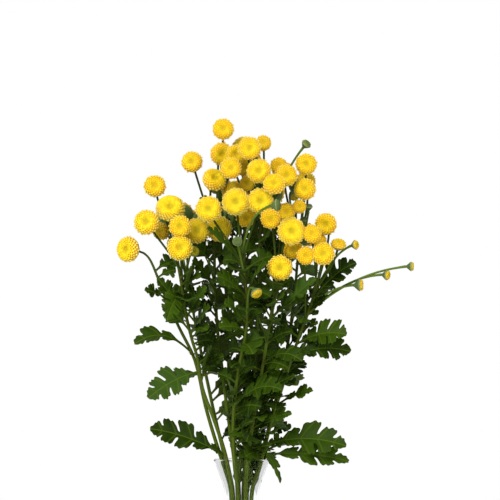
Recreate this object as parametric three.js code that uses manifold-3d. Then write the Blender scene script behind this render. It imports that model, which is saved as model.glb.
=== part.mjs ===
// A bunch of button feverfew standing in a clear glass vase. Millimetres, +Z up.
// The origin is the centre of the vase's flat underside, -Y is the front of the bunch and +X its right.
import * as THREE from "three";
import { mergeVertices } from "three/addons/utils/BufferGeometryUtils.js";
import Module from "manifold-3d";

const wasm = await Module();
wasm.setup();

// Vase
const VASE_HEIGHT = 200;
const FOOT_RADIUS = 34;
const BODY_RADIUS = 41;
const BODY_HEIGHT = 66;
const NECK_RADIUS = 12.1;
const NECK_BOTTOM = 150;
const NECK_TOP = 179;
const MOUTH_RADIUS = 19.8;
const GLASS = 2;
const FLOOR = 6;
const EDGE_ROUND = 0.6;
const WALL_HEIGHTS = [33, 66, 90, 108, 126, 150, 179];
const WATER_LEVEL = 108;
const VASE_SIDES = 20;
const GAP = 0.3;

// Stems
const OUTER_RING = 7.9;
const INNER_RING = 3.3;
const FOOT_SPREAD = 2.7;
const STEM_FOOT = 10;
const STEM_RADIUS = 1.5;
const STEM_TIP_RADIUS = 0.9;
const STEM_SIDES = 5;
const STEPS_PER_SPAN = 1.3;

// Flower stalks, the green cup under each head, and the head itself as shares of its radius
const STALK_RADIUS = 0.8;
const STALK_SIDES = 5;
const STALK_STEPS = 3;
const STALK_FINE_STEPS = 5;
const STALK_RISE = 0.2;
const STALK_LEAN = 0.14;
const STALK_APPROACH = 0.3;
const STALK_SAG = 0.12;
const BUD_STALK_SAG = 0;
const CUP_DEPTH = 0.42;
const CUP_WIDTH = 0.84;
const CUP_WAIST = 0.6;
const BUD_FORM = [[0.55, 0.45], [-0.1, 1], [-0.6, 0.75]];
const RIM_DROP = 0.12;
const HEAD_LIFT = 0.2;
const HEAD_RINGS = [
  { reach: 0.38, height: 0.55 },
  { reach: 0.82, height: 0.4 },
  { reach: 0.98, height: -RIM_DROP },
];
const DIMPLE_HEIGHT = 0.4;
const FLORET_RELIEF = 0.045;
const LARGE_HEAD = 18;
const LARGE_HEAD_SECTORS = 12;
const SMALL_HEAD_SECTORS = 9;

// Leaves: the lobes of one half from the root to the tip, as shares of the length and the half width.
// Each lobe ends in the notch before the next one, and the midrib has a point beside each notch.
const LEAF_THICKNESS = 0.7;
const PETIOLE_HALF_WIDTH = 0.6;
const PETIOLE_END = 0.17;
const LEAF_FOLD = 0.22;
const LEAF_LOBES = [
  [[0.26, 0.5], [0.36, 0.55], [0.38, 0.2]],
  [[0.47, 0.94], [0.59, 1], [0.6, 0.28]],
  [[0.7, 0.82], [0.81, 0.74], [0.82, 0.3]],
  [[0.93, 0.38]],
];
const SMALL_LEAF_LOBES = [
  [[0.4, 0.55], [0.5, 0.25]],
  [[0.62, 1], [0.78, 0.9], [0.8, 0.35]],
  [[0.93, 0.4]],
];
const SMALL_LEAF = 9;

// Room kept between pieces of different stems, which balls along them stand for
const CLEARANCE = 1.1;
const STEM_BALL_STEP = 3;
const CUP_BALL_DEPTH = 0.3;
const CUP_BALL_RADIUS = 0.62;
const LEAF_BALL = 2.4;
const LEAF_SAMPLES = [
  [0.2, 0], [0.28, 0.5], [0.36, 0.9], [0.46, 0.9], [0.56, 0.9],
  [0.66, 0.9], [0.76, 0.9], [0.88, 0.9], [1, 0],
];
const OWN_ROOM = 16;
const BEND_PASSES = 40;
const BEND_PUSH = 0.6;
const BEND_SMOOTHING = 0.12;
const LEAF_SWINGS = [0, 8, -8, 16, -16, 24, -24, 34, -34, 46, -46];
const LEAF_LIFTS = [0, 10, -10, 20, -20];

// Each stem: its ring and direction in the neck, in degrees from +X, and its way up above the neck
const STEMS = [
  ["far_left", OUTER_RING, 180, [[-13, -1, 197], [-23, -5, 227], [-33, -7, 270], [-48, -10, 301],
    [-59, -12, 328], [-64, -13, 342]]],
  ["left", OUTER_RING, 215, [[-10, -9, 197], [-17, -14, 222], [-27, -17, 248], [-31, -18, 272],
    [-37, -19, 292], [-41, -20, 315], [-43, -21, 332]]],
  ["front_left", OUTER_RING, 250, [[-5, -12, 197], [-6, -16, 222], [-4, -21, 250], [0, -26, 275],
    [4, -29, 298], [3, -31, 322], [0, -32, 343]]],
  ["front_right", OUTER_RING, 290, [[4, -13, 197], [7, -17, 221], [12, -22, 250], [17, -27, 280],
    [21, -30, 305], [24, -31, 322]]],
  ["right", OUTER_RING, 335, [[13, -6, 197], [19, -10, 221], [28, -14, 250], [37, -18, 278],
    [46, -21, 302], [53, -23, 322]]],
  ["back_right", OUTER_RING, 15, [[13, 4, 197], [20, 7, 225], [28, 8, 257], [34, 7, 290],
    [38, 4, 322], [40, 0, 350]]],
  ["far_back_right", OUTER_RING, 60, [[7, 12, 197], [12, 18, 225], [17, 24, 257], [21, 27, 290],
    [23, 28, 320]]],
  ["back", OUTER_RING, 105, [[-4, 13, 197], [-7, 19, 225], [-9, 25, 257], [-10, 28, 290],
    [-9, 29, 325], [-8, 29, 345]]],
  ["back_left", OUTER_RING, 145, [[-11, 8, 197], [-18, 12, 225], [-25, 16, 257], [-32, 19, 290],
    [-38, 20, 322]]],
  ["inner_left", INNER_RING, 190, [[-5, -1, 197], [-9, -2, 225], [-13, -3, 257], [-17, -2, 290],
    [-19, 2, 325], [-19, 5, 355], [-17, 4, 378]]],
  ["inner_right", INNER_RING, 310, [[3, -4, 197], [6, -7, 225], [9, -10, 257], [11, -12, 290],
    [12, -13, 325], [13, -14, 355], [14, -15, 375]]],
  ["inner_back", INNER_RING, 70, [[2, 5, 197], [2, 8, 225], [2, 10, 257], [2, 11, 290],
    [2, 11, 325], [2, 9, 355], [1, 6, 385]]],
];

// Each flower head: number, stem, height where its stalk leaves the stem, centre x, y, z, diameter,
// and where it faces, as degrees turned right from the front and degrees tilted up
const HEADS = [
  [1, "inner_left", 376, -13, -6, 432, 15, 0, 8],
  [2, "inner_left", 370, -14, -4, 414.5, 16, 12, -6],
  [3, "inner_left", 352, -35, -6, 409, 15, -5, 10],
  [4, "left", 332, -61, -8, 392, 15.5, 0, 10],
  [5, "left", 330, -50, -16, 376.5, 20, 0, 30],
  [6, "left", 332, -66.5, -24, 366.5, 17.5, -10, 10],
  [7, "far_left", 342, -80, -15, 347.5, 18, -38, 0],
  [8, "left", 326, -57, -1.5, 360, 13, -25, -15],
  [9, "left", 322, -43, -32, 363.5, 15.5, -5, 0],
  [10, "left", 316, -31.5, -17, 360.5, 17.5, 5, 6],
  [11, "front_left", 335, -23, -34, 375.5, 18, 0, 5],
  [12, "front_left", 343, -4, -37, 380.5, 19, -5, 4],
  [13, "inner_left", 355, -19, -17, 396.5, 17, 22, 30],
  [14, "inner_left", 376, -7.5, -29, 404, 15, 0, 10],
  [15, "inner_back", 381, 5.5, -31, 418, 16, 0, 4],
  [16, "inner_back", 378, -4, -15, 414, 14, 5, 5],
  [17, "inner_right", 373, 15, -15, 422, 11.5, -5, 15],
  [18, "inner_back", 383, 2, 7, 418.5, 17.5, 0, 10],
  [19, "inner_right", 365, 12, -34, 402, 17, -5, 6],
  [20, "inner_right", 350, 4, -17, 393.5, 11, 0, -8],
  [21, "inner_right", 345, 22.5, -44, 393, 15.5, -5, 28],
  [22, "inner_right", 360, 31, -30, 399, 15.5, 5, 5],
  [23, "inner_right", 365, 26, -14, 406, 12.5, 0, 15],
  [24, "back_right", 350, 45, -22, 407, 15, -3, 3],
  [25, "back_right", 345, 44, -26, 389.5, 15.5, -15, 6],
  [26, "front_left", 338, 13, -37, 381, 18, 0, 4],
  [27, "inner_left", 345, -6, -12, 387, 16, 0, 10],
  [28, "front_left", 330, 3, -20, 370, 14, 0, 5],
  [29, "front_left", 322, -16, -9, 362, 18, 0, -5],
  [30, "front_right", 322, 20, -42, 368.5, 14, -5, -6],
  [31, "front_right", 318, 30.5, -29, 373, 14, 10, 5],
  [32, "front_right", 318, 40.3, -29.5, 377.3, 10, 12, 8],
  [33, "front_right", 305, 34.5, -45, 360, 19, 4, 4],
  [34, "right", 318, 48.8, -45, 358.3, 13, 0, 4],
  [35, "right", 322, 58.5, -28, 365, 15.5, -18, -8],
  [36, "right", 318, 67.5, -33, 351.5, 11, 15, 60],
  [37, "right", 312, 53.5, -22, 353.5, 12, 0, 12],
  [38, "right", 302, 56.5, -44, 344.5, 16, 0, 8],
  [39, "right", 296, 44.5, -43.5, 343, 13, 6, -5],
  [40, "front_right", 305, 35.6, -27, 347.5, 14, 0, -6],
  [41, "front_right", 285, 26.5, -42, 334.5, 17.5, 0, 0],
  [42, "left", 305, -43, -32, 348.5, 17.5, 0, 0],
  [43, "inner_back", 370, 1.5, -3, 405.5, 13, 5, 0],
  [44, "back_right", 350, 45, -5, 396, 14, 0, 30],
  [45, "back", 345, -4, 36, 388, 18, 180, 20],
  [46, "back", 345, 9.5, 33, 397, 17, 178, 22],
  [47, "back", 340, -17, 34, 395, 17, -178, 22],
  [48, "back", 325, -12, 48, 368, 18, 180, 4],
  [49, "back", 325, 4, 48, 370.5, 18, 180, 6],
  [50, "inner_back", 380, 6, 20, 411, 16, 175, 35],
  [51, "back_left", 322, -54, 22, 368, 16, -160, 15],
  [52, "back_left", 322, -42.5, 28, 373, 16, -165, 15],
  [53, "back_left", 318, -30, 33, 368, 17, -172, 8],
  [54, "back_left", 315, -33, 31, 354, 16, -170, 0],
  [55, "back_right", 345, 30, 15, 402, 16, 178, 30],
  [56, "back_right", 340, 41, 19, 393, 16, 165, 25],
  [57, "far_back_right", 320, 22, 36, 388, 17, 175, 18],
  [58, "far_back_right", 320, 33, 44, 363, 17, 170, 5],
  [59, "far_back_right", 318, 46, 38, 358, 17, 160, 5],
  [60, "far_back_right", 305, 29, 33, 342, 16, 175, -5],
];

// Heads that grew against each other and hold together as one piece
const TOUCHING = [[9, 42], [12, 26], [33, 34], [38, 39], [31, 32], [45, 46, 47, 57], [48, 49],
  [51, 52, 53, 54], [55, 56], [58, 59]];

// Each bud or half-open head: stem, height where its stalk leaves, centre x, y, z, diameter, turn, tilt
const BUDS = [
  ["inner_right", 372, 45, -15, 421, 7.5, 60, 45],
  ["front_left", 343, 24, -56, 378, 9, 80, 5],
  ["back_right", 345, 46.5, -20, 377, 6.5, 0, 80],
  ["back_right", 340, 43.5, -16, 368, 6, 10, 70],
  ["back_right", 345, 37, -14, 385, 8, 40, -40],
  ["right", 322, 79, -27, 350.5, 7, 60, 10],
  ["right", 308, 82, -26, 322.5, 9, 85, 0],
  ["right", 302, 101, -24, 329.5, 7.5, 70, -5],
  ["right", 302, 118, -23, 335.5, 7, 85, 0],
  ["front_left", 300, 10, -47, 317.5, 9, 45, -45],
  ["front_left", 325, -3, -45, 353, 7, 0, 10],
  ["left", 315, -33.5, -17, 346, 8, 20, 10],
  ["back_left", 322, -50, 40, 352, 8, -140, 10],
  ["back", 330, -4, 56, 350, 8, 180, 0],
];

// Each leaf: stem, root height, tip x, y, z, how far its middle arches up, half width,
// and degrees that its upper face turns to the front
const LEAVES = [
  ["far_left", 275, -75, -18, 281, 9, 8, 45],
  ["left", 262, -65, -34, 244, 3, 12, 62],
  ["left", 203, -64, -20, 222, 3, 12, 62],
  ["right", 281, 73, -32, 288, 4, 12, 55],
  ["right", 272, 76, -22, 276, 4, 11, 60],
  ["right", 312, 80, -24, 338, 4, 11, 52],
  ["front_right", 298, 52, -42, 327, 2, 8, 55],
  ["right", 210, 73, -22, 210, 5, 13, 60],
  ["right", 203, 70, -32, 199, 3, 9, 60],
  ["front_right", 204, 27, -21, 184, 12, 5, 20],
  ["right", 238, 50, -26, 249, 2, 6, 50],
  ["front_right", 245, 37, -36, 260, 1, 6, 50],
  ["front_right", 222, 35, -30, 233, 2, 6, 50],
  ["front_right", 268, 42, -46, 270, 6, 8, 45],
  ["far_left", 313, -68, -18, 319, 1, 6, 55],
  ["left", 298, -57, -28, 327, 1, 9, 60],
  ["left", 315, -52, -42, 298, 6, 9, 60],
  ["left", 288, -22, -36, 307, 2, 9, 60],
  ["left", 308, -34, -36, 337, 1, 8, 60],
  ["inner_left", 302, -28, -16, 324, 1, 8, 50],
  ["inner_left", 322, -32, -22, 341, 1, 7, 50],
  ["front_left", 314, -17, -46, 329, 2, 8, 55],
  ["front_left", 296, -12, -46, 310, 2, 8, 55],
  ["front_left", 318, 17, -50, 337, 2, 8, 50],
  ["front_left", 336, -24, -50, 362, 2, 7, 50],
  ["front_left", 238, -10, -37, 257, 1, 6.5, 60],
  ["front_left", 238, 31, -40, 250, 7, 10, 55],
  ["front_right", 282, 14, -50, 293, 3, 8, 50],
  ["left", 202, -23, -20, 209, 1, 5, 50],
  ["left", 255, -21, -33, 280, 2, 9, 60],
  ["back_right", 300, 66, 4, 320, 5, 10, 20],
  ["back_right", 266, 68, 16, 279, 6, 11, -30],
  ["back_right", 205, 61, 18, 208, 5, 11, -30],
  ["far_back_right", 290, 46, 52, 300, 8, 11, -40],
  ["far_back_right", 250, 40, 54, 250, 8, 8.8, -40],
  ["back", 305, -28, 58, 318, 6, 10, -50],
  ["back", 268, 8, 62, 276, 8, 8.8, -50],
  ["back_left", 296, -56, 40, 304, 6, 8.8, -35],
  ["back_left", 258, -54, 32, 249, 4, 8.8, -35],
];

const GREEN = { color: 0x2f5a14, roughness: 0.62, metalness: 0 };
const YELLOW = { color: 0xf2c318, roughness: 0.75, metalness: 0 };
const CLEAR = { color: 0xdfeceb, roughness: 0.05, metalness: 0, transparent: true, opacity: 0.25 };
const WATER = { color: 0xcfe3e6, roughness: 0.02, metalness: 0, transparent: true, opacity: 0.35 };

const UP = new THREE.Vector3(0, 0, 1);
const radians = THREE.MathUtils.degToRad;
const vector = ([x, y, z]) => new THREE.Vector3(x, y, z);

// A closed indexed mesh as a solid
function solid(positions, triangles) {
  const vertProperties = new Float32Array(positions);
  const triVerts = new Uint32Array(triangles);
  return new wasm.Manifold(new wasm.Mesh({ numProp: 3, vertProperties, triVerts }));
}

// A geometry of a three.js class as a solid, with the triangles that its poles flatten left out
function solidOf(geometry) {
  geometry.deleteAttribute("normal");
  geometry.deleteAttribute("uv");
  const merged = mergeVertices(geometry, 1e-3);
  const index = merged.index.array;
  const triangles = [];
  for (let i = 0; i < index.length; i += 3) {
    const [a, b, c] = index.slice(i, i + 3);
    if (a !== b && b !== c && c !== a) triangles.push(a, b, c);
  }
  return solid(merged.attributes.position.array, triangles);
}

function joined(solids) {
  return solids.reduce((sum, one) => sum.add(one));
}

function meshOf(name, made, finish) {
  const { numProp, vertProperties, triVerts } = made.getMesh();
  const positions = [];
  for (let i = 0; i < vertProperties.length; i += numProp) {
    positions.push(...vertProperties.subarray(i, i + 3));
  }
  const geometry = new THREE.BufferGeometry();
  geometry.setAttribute("position", new THREE.Float32BufferAttribute(positions, 3));
  geometry.setIndex([...triVerts]);
  geometry.computeVertexNormals();
  const mesh = new THREE.Mesh(geometry, new THREE.MeshStandardMaterial(finish));
  mesh.name = name;
  return mesh;
}

// The vase's outer radius at a height
function vaseRadius(z) {
  if (z >= NECK_TOP) {
    return THREE.MathUtils.mapLinear(z, NECK_TOP, VASE_HEIGHT, NECK_RADIUS, MOUTH_RADIUS);
  }
  if (z >= BODY_HEIGHT) {
    const narrowing = THREE.MathUtils.smoothstep(z, BODY_HEIGHT, NECK_BOTTOM);
    return THREE.MathUtils.lerp(BODY_RADIUS, NECK_RADIUS, narrowing);
  }
  const swelling = Math.sin((z / BODY_HEIGHT) * (Math.PI / 2));
  return THREE.MathUtils.lerp(FOOT_RADIUS, BODY_RADIUS, swelling);
}

function lathe(profile) {
  return new THREE.LatheGeometry(profile.map(([r, z]) => new THREE.Vector2(r, z)), VASE_SIDES)
    .rotateX(Math.PI / 2);
}

function vase() {
  const inner = (z) => vaseRadius(z) - GLASS;
  const outerWall = WALL_HEIGHTS.map((z) => [vaseRadius(z), z]);
  const innerWall = WALL_HEIGHTS.map((z) => [inner(z), z]).reverse();
  return lathe([
    [0, 0],
    [FOOT_RADIUS - GLASS, 0],
    [vaseRadius(GLASS), GLASS],
    ...outerWall,
    [MOUTH_RADIUS, VASE_HEIGHT - EDGE_ROUND],
    [MOUTH_RADIUS - EDGE_ROUND, VASE_HEIGHT],
    [MOUTH_RADIUS - GLASS + EDGE_ROUND, VASE_HEIGHT],
    [MOUTH_RADIUS - GLASS, VASE_HEIGHT - EDGE_ROUND],
    ...innerWall,
    [inner(FLOOR), FLOOR],
    [0, FLOOR],
  ]);
}

function water() {
  const inner = (z) => vaseRadius(z) - GLASS - GAP;
  const wet = WALL_HEIGHTS.filter((z) => z <= WATER_LEVEL);
  return lathe([
    [0, FLOOR + GAP],
    [inner(FLOOR), FLOOR + GAP],
    ...wet.map((z) => [inner(z), z]),
    [0, WATER_LEVEL],
  ]);
}

// A closed tube along points, with a radius at each point
function sweep(points, radii, sides) {
  const positions = [];
  const triangles = [];
  const last = points.length - 1;
  let side = null;
  points.forEach((point, i) => {
    const ahead = points[Math.min(i + 1, last)];
    const behind = points[Math.max(i - 1, 0)];
    const along = ahead.clone().sub(behind).normalize();
    if (!side) side = Math.abs(along.x) < 0.8 ? new THREE.Vector3(1, 0, 0) : new THREE.Vector3(0, 1, 0);
    side = side.clone().addScaledVector(along, -side.dot(along)).normalize();
    const across = along.clone().cross(side);
    for (let k = 0; k < sides; k++) {
      const angle = (k / sides) * 2 * Math.PI;
      const place = point.clone()
        .addScaledVector(side, radii[i] * Math.cos(angle))
        .addScaledVector(across, radii[i] * Math.sin(angle));
      positions.push(place.x, place.y, place.z);
    }
  });
  for (let i = 0; i < last; i++) {
    for (let k = 0; k < sides; k++) {
      const a = i * sides + k;
      const b = i * sides + ((k + 1) % sides);
      triangles.push(a, b, b + sides, a, b + sides, a + sides);
    }
  }
  for (let k = 1; k < sides - 1; k++) {
    triangles.push(0, k + 1, k);
    triangles.push(last * sides, last * sides + k, last * sides + k + 1);
  }
  return solid(positions, triangles);
}

// Balls stand for what is placed already, so that later pieces can keep clear of it
const balls = [];

function addBalls(points, radius, owner) {
  points.forEach((centre) => balls.push({ centre, radius, owner }));
}

// Points no further apart than the step, on straight lines between the given ones
function dense(points, step) {
  const filled = [];
  for (let i = 0; i < points.length - 1; i++) {
    const count = Math.max(1, Math.ceil(points[i].distanceTo(points[i + 1]) / step));
    for (let k = 0; k < count; k++) filled.push(points[i].clone().lerp(points[i + 1], k / count));
  }
  filled.push(points[points.length - 1].clone());
  return filled;
}

// Bends a chain of points clear of the balls of other owners, with its two ends held
function bendClear(points, radius, owners) {
  const others = balls.filter((ball) => !owners.includes(ball.owner));
  for (let pass = 0; pass < BEND_PASSES; pass++) {
    for (let i = 1; i < points.length - 1; i++) {
      const push = new THREE.Vector3();
      for (const ball of others) {
        const away = points[i].clone().sub(ball.centre);
        const distance = away.length();
        const lack = ball.radius + radius + CLEARANCE - distance;
        if (lack > 0) push.addScaledVector(away, lack / distance);
      }
      const middle = points[i - 1].clone().add(points[i + 1]).multiplyScalar(0.5);
      points[i].add(push.multiplyScalar(BEND_PUSH)).lerp(middle, BEND_SMOOTHING);
    }
  }
  return points;
}

function facing(turn, tilt) {
  const level = Math.cos(radians(tilt));
  return new THREE.Vector3(
    Math.sin(radians(turn)) * level, -Math.cos(radians(turn)) * level, Math.sin(radians(tilt)));
}

// The stem's line from its foot in the water, through its place in the neck, to its top
function stemLine(ring, direction, route) {
  const outward = new THREE.Vector3(Math.cos(radians(direction)), Math.sin(radians(direction)), 0);
  const at = (radius, z) => outward.clone().multiplyScalar(radius).setZ(z);
  const neck = at(ring, NECK_TOP);
  const upper = new THREE.CatmullRomCurve3([neck, ...route.map(vector)]);
  return [
    at(ring * FOOT_SPREAD, STEM_FOOT),
    at(ring, NECK_BOTTOM),
    ...upper.getPoints(Math.round(route.length * STEPS_PER_SPAN)),
  ];
}

// The place on a stem's line at a height, and the direction there
function onStem(line, z) {
  let i = line.findIndex((point) => point.z >= z);
  if (i < 1) i = line.length - 1;
  const low = line[i - 1];
  const high = line[i];
  const share = Math.min(1, (z - low.z) / (high.z - low.z));
  return { place: low.clone().lerp(high, share), along: high.clone().sub(low).normalize() };
}

function stemRadius(z, top) {
  const share = THREE.MathUtils.clamp((z - NECK_TOP) / (top - NECK_TOP), 0, 1);
  return THREE.MathUtils.lerp(STEM_RADIUS, STEM_TIP_RADIUS, share);
}

// The stalk's line from the stem to the back of a head or bud, bent clear of other stems' pieces
function stalkLine(line, fork, end, face, sag, owners) {
  const { place, along } = onStem(line, fork);
  const reach = place.distanceTo(end);
  const curve = new THREE.CubicBezierCurve3(
    place,
    place.clone().addScaledVector(along, reach * STALK_RISE).lerp(end, STALK_LEAN),
    end.clone()
      .addScaledVector(face, -reach * STALK_APPROACH)
      .addScaledVector(UP, -reach * sag),
    end,
  );
  return bendClear(curve.getPoints(STALK_STEPS * STALK_FINE_STEPS), STALK_RADIUS, owners);
}

function headFrame(row) {
  const [number, stem, fork, x, y, z, diameter, turn, tilt] = row;
  const radius = diameter / 2;
  const face = facing(turn, tilt);
  const centre = vector([x, y, z]);
  const seat = centre.clone().addScaledVector(face, -HEAD_LIFT * radius);
  return { number, stem, fork, radius, face, centre, seat, diameter };
}

// A domed head of florets: rings of bumps around a dimple, with a flat underside
function head({ radius, face, seat, number, diameter }) {
  const sectors = diameter >= LARGE_HEAD ? LARGE_HEAD_SECTORS : SMALL_HEAD_SECTORS;
  const side = UP.clone().cross(face).normalize();
  const over = face.clone().cross(side);
  const positions = [];
  const triangles = [];
  const put = (reach, height, angle) => {
    const place = seat.clone()
      .addScaledVector(side, radius * reach * Math.cos(angle))
      .addScaledVector(over, radius * reach * Math.sin(angle))
      .addScaledVector(face, radius * height);
    positions.push(place.x, place.y, place.z);
  };
  put(0, DIMPLE_HEIGHT, 0);
  HEAD_RINGS.forEach(({ reach, height }, ring) => {
    for (let k = 0; k < sectors; k++) {
      const raised = (k + ring) % 2 ? FLORET_RELIEF : -FLORET_RELIEF;
      const relief = ring < HEAD_RINGS.length - 1 ? raised : 0;
      put(reach + relief, height + relief, ((k + number) / sectors) * 2 * Math.PI);
    }
  });
  for (let k = 0; k < sectors; k++) {
    const next = (k + 1) % sectors;
    triangles.push(0, 1 + k, 1 + next);
    for (let ring = 0; ring < HEAD_RINGS.length - 1; ring++) {
      const a = 1 + ring * sectors + k;
      const b = 1 + ring * sectors + next;
      triangles.push(a, a + sectors, b + sectors, a, b + sectors, b);
    }
  }
  const under = 1 + (HEAD_RINGS.length - 1) * sectors;
  for (let k = 1; k < sectors - 1; k++) triangles.push(under, under + k + 1, under + k);
  return solid(positions, triangles);
}

// A stalk that widens into a form at its end, which is given as depths behind a place and radii
function stalkWith(stalk, place, face, form) {
  const coarse = stalk.filter((_, i) => i % STALK_FINE_STEPS === 0);
  const rings = form.map(([depth]) => place.clone().addScaledVector(face, -depth));
  const radii = [...coarse.map(() => STALK_RADIUS), ...form.map(([, radius]) => radius)];
  return sweep([...coarse, ...rings], radii, STALK_SIDES);
}

// The green cup that a head sits in, with a gap under the head
function cupForm(radius) {
  const top = RIM_DROP * radius + GAP;
  return [[top + (CUP_DEPTH * radius) / 2, radius * CUP_WAIST], [top, radius * CUP_WIDTH]];
}

function cupEnd({ radius, face, seat }) {
  return seat.clone().addScaledVector(face, -(RIM_DROP * radius + GAP + CUP_DEPTH * radius));
}

// A bud's green cup with its closed florets
function budForm(radius) {
  return BUD_FORM.map(([depth, width]) => [depth * radius, width * radius]);
}

// The places on a blade by its share of the length, of the half width, and its height above the
// middle of the thickness: its midrib is an arc in an upright plane, and its face is turned about it
function leafFrame({ root, tip, arch, halfWidth, turn }) {
  const chord = tip.clone().sub(root);
  const control = root.clone().add(tip).multiplyScalar(0.5).addScaledVector(UP, 2 * arch);
  const curve = new THREE.QuadraticBezierCurve3(root, control, tip);
  const level = new THREE.Vector3(-chord.y, chord.x, 0).normalize();
  const angle = radians(chord.x >= 0 ? turn : -turn);
  return (t, w, lift) => {
    const along = curve.getTangent(t);
    const side = level.clone().applyAxisAngle(along, angle);
    const above = along.clone().cross(side);
    return curve.getPoint(t)
      .addScaledVector(side, w * halfWidth)
      .addScaledVector(above, Math.abs(w) * halfWidth * LEAF_FOLD + lift);
  };
}

// Places spread over a blade, which balls are put on
function leafSamples(leaf) {
  const point = leafFrame(leaf);
  const samples = [];
  for (const [t, reach] of LEAF_SAMPLES) {
    const widths = reach ? [-reach, -reach / 2, 0, reach / 2, reach] : [0];
    for (const w of widths) samples.push(point(t, w, 0));
  }
  return samples;
}

// The least room that a leaf has to what is placed already, less than zero where it is too near
function leafRoom(leaf, owner) {
  let room = Infinity;
  const samples = leafSamples(leaf);
  for (const ball of balls) {
    if (ball.owner === owner && ball.centre.distanceTo(leaf.root) < OWN_ROOM) continue;
    for (const sample of samples) {
      room = Math.min(room, sample.distanceTo(ball.centre) - ball.radius - CLEARANCE);
    }
  }
  return room;
}

// The leaf as given, or swung and lifted by the least that brings it clear
function clearLeaf(leaf, owner) {
  let best = null;
  for (const lift of LEAF_LIFTS) {
    for (const swing of LEAF_SWINGS) {
      const chord = leaf.tip.clone().sub(leaf.root).applyAxisAngle(UP, radians(swing));
      const level = new THREE.Vector3(-chord.y, chord.x, 0).normalize();
      chord.applyAxisAngle(level, -radians(lift));
      const moved = { ...leaf, tip: leaf.root.clone().add(chord) };
      const room = leafRoom(moved, owner);
      if (!best || room > best.room) best = { leaf: moved, room };
      if (room >= 0) return moved;
    }
  }
  return best.leaf;
}

// A lobed blade as a solid: each half is fans of triangles from the midrib to its lobes
function leafSolid(leaf) {
  const point = leafFrame(leaf);
  const petiole = PETIOLE_HALF_WIDTH / leaf.halfWidth;
  const lobes = leaf.halfWidth < SMALL_LEAF ? SMALL_LEAF_LOBES : LEAF_LOBES;
  const places = [[0, 0]];
  const add = (t, w) => places.push([t, w]) - 1;
  const parts = [[[PETIOLE_END, petiole]], ...lobes];
  const stations = parts.map((part, i) => add(i < parts.length - 1 ? part[part.length - 1][0] : 1, 0));
  const upper = [];
  const edges = [1, -1].map((half) => {
    const edge = [add(0, half * petiole)];
    let hub = 0;
    parts.forEach((part, i) => {
      const outer = part.map(([t, w]) => add(t, half * w));
      for (const corner of [...outer, stations[i]]) {
        const before = edge[edge.length - 1];
        upper.push(half > 0 ? [hub, corner, before] : [hub, before, corner]);
        if (corner !== stations[i]) edge.push(corner);
      }
      hub = stations[i];
    });
    return edge;
  });
  const count = places.length;
  const triangles = upper.flatMap(([a, b, c]) => [a, b, c, a + count, c + count, b + count]);
  const rim = [0, ...edges[1], stations[stations.length - 1], ...edges[0].reverse()];
  rim.forEach((a, i) => {
    const b = rim[(i + 1) % rim.length];
    triangles.push(a, a + count, b + count, a, b + count, b);
  });
  const positions = [];
  for (const lift of [LEAF_THICKNESS / 2, -LEAF_THICKNESS / 2]) {
    for (const [t, w] of places) positions.push(...point(t, w, lift).toArray());
  }
  return solid(positions, triangles);
}

// Stems first, then the room of every head, then stalks and buds, then leaves
const stems = new Map();
for (const [name, ring, direction, route] of STEMS) {
  const line = stemLine(ring, direction, route);
  const top = line[line.length - 1].z;
  const radii = line.map((point) => stemRadius(point.z, top));
  stems.set(name, { line, pieces: [sweep(line, radii, STEM_SIDES)] });
  addBalls(dense(line, STEM_BALL_STEP), STEM_RADIUS, name);
}

const heads = HEADS.map(headFrame);
for (const { number, centre, seat, face, radius } of heads) {
  const cup = seat.clone().addScaledVector(face, -radius * CUP_BALL_DEPTH);
  addBalls([centre], radius, "head " + number);
  addBalls([cup], radius * CUP_BALL_RADIUS, "head " + number);
}
for (const flower of heads) {
  const stem = stems.get(flower.stem);
  const owners = [flower.stem, "head " + flower.number];
  const stalk = stalkLine(stem.line, flower.fork, cupEnd(flower), flower.face, STALK_SAG, owners);
  addBalls(stalk, STALK_RADIUS, flower.stem);
  stem.pieces.push(stalkWith(stalk, flower.seat, flower.face, cupForm(flower.radius)));
}
for (const [name, fork, x, y, z, diameter, turn, tilt] of BUDS) {
  const stem = stems.get(name);
  const centre = vector([x, y, z]);
  const face = facing(turn, tilt);
  const end = centre.clone().addScaledVector(face, -diameter / 2);
  const stalk = stalkLine(stem.line, fork, end, face, BUD_STALK_SAG, [name]);
  addBalls(stalk, STALK_RADIUS, name);
  addBalls([centre], diameter / 2, name);
  stem.pieces.push(stalkWith(stalk, centre, face, budForm(diameter / 2)));
}
for (const [name, rootHeight, x, y, z, arch, halfWidth, turn] of LEAVES) {
  const stem = stems.get(name);
  const root = onStem(stem.line, rootHeight).place;
  const leaf = clearLeaf({ root, tip: vector([x, y, z]), arch, halfWidth, turn }, name);
  addBalls(leafSamples(leaf), LEAF_BALL, name);
  stem.pieces.push(leafSolid(leaf));
}

const bunch = new THREE.Group();
bunch.add(meshOf("vase", solidOf(vase()), CLEAR));

// The water, with a hole that each stem stands in
let filling = solidOf(water());
for (const { line: [foot, neck] } of stems.values()) {
  const below = foot.clone().lerp(neck, -GAP / foot.distanceTo(neck));
  const holeRadius = STEM_RADIUS + GAP;
  filling = filling.subtract(sweep([below, neck], [holeRadius, holeRadius], STEM_SIDES));
}
bunch.add(meshOf("water", filling, WATER));

for (const [name, { pieces }] of stems) {
  bunch.add(meshOf("flowering_stem_" + name, joined(pieces), GREEN));
}

const touching = TOUCHING.flat();
const single = heads.filter(({ number }) => !touching.includes(number)).map(({ number }) => [number]);
for (const group of [...TOUCHING, ...single]) {
  const members = heads.filter(({ number }) => group.includes(number));
  bunch.add(meshOf("flower_head_" + group.join("_"), joined(members.map(head)), YELLOW));
}

export default bunch;
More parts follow.
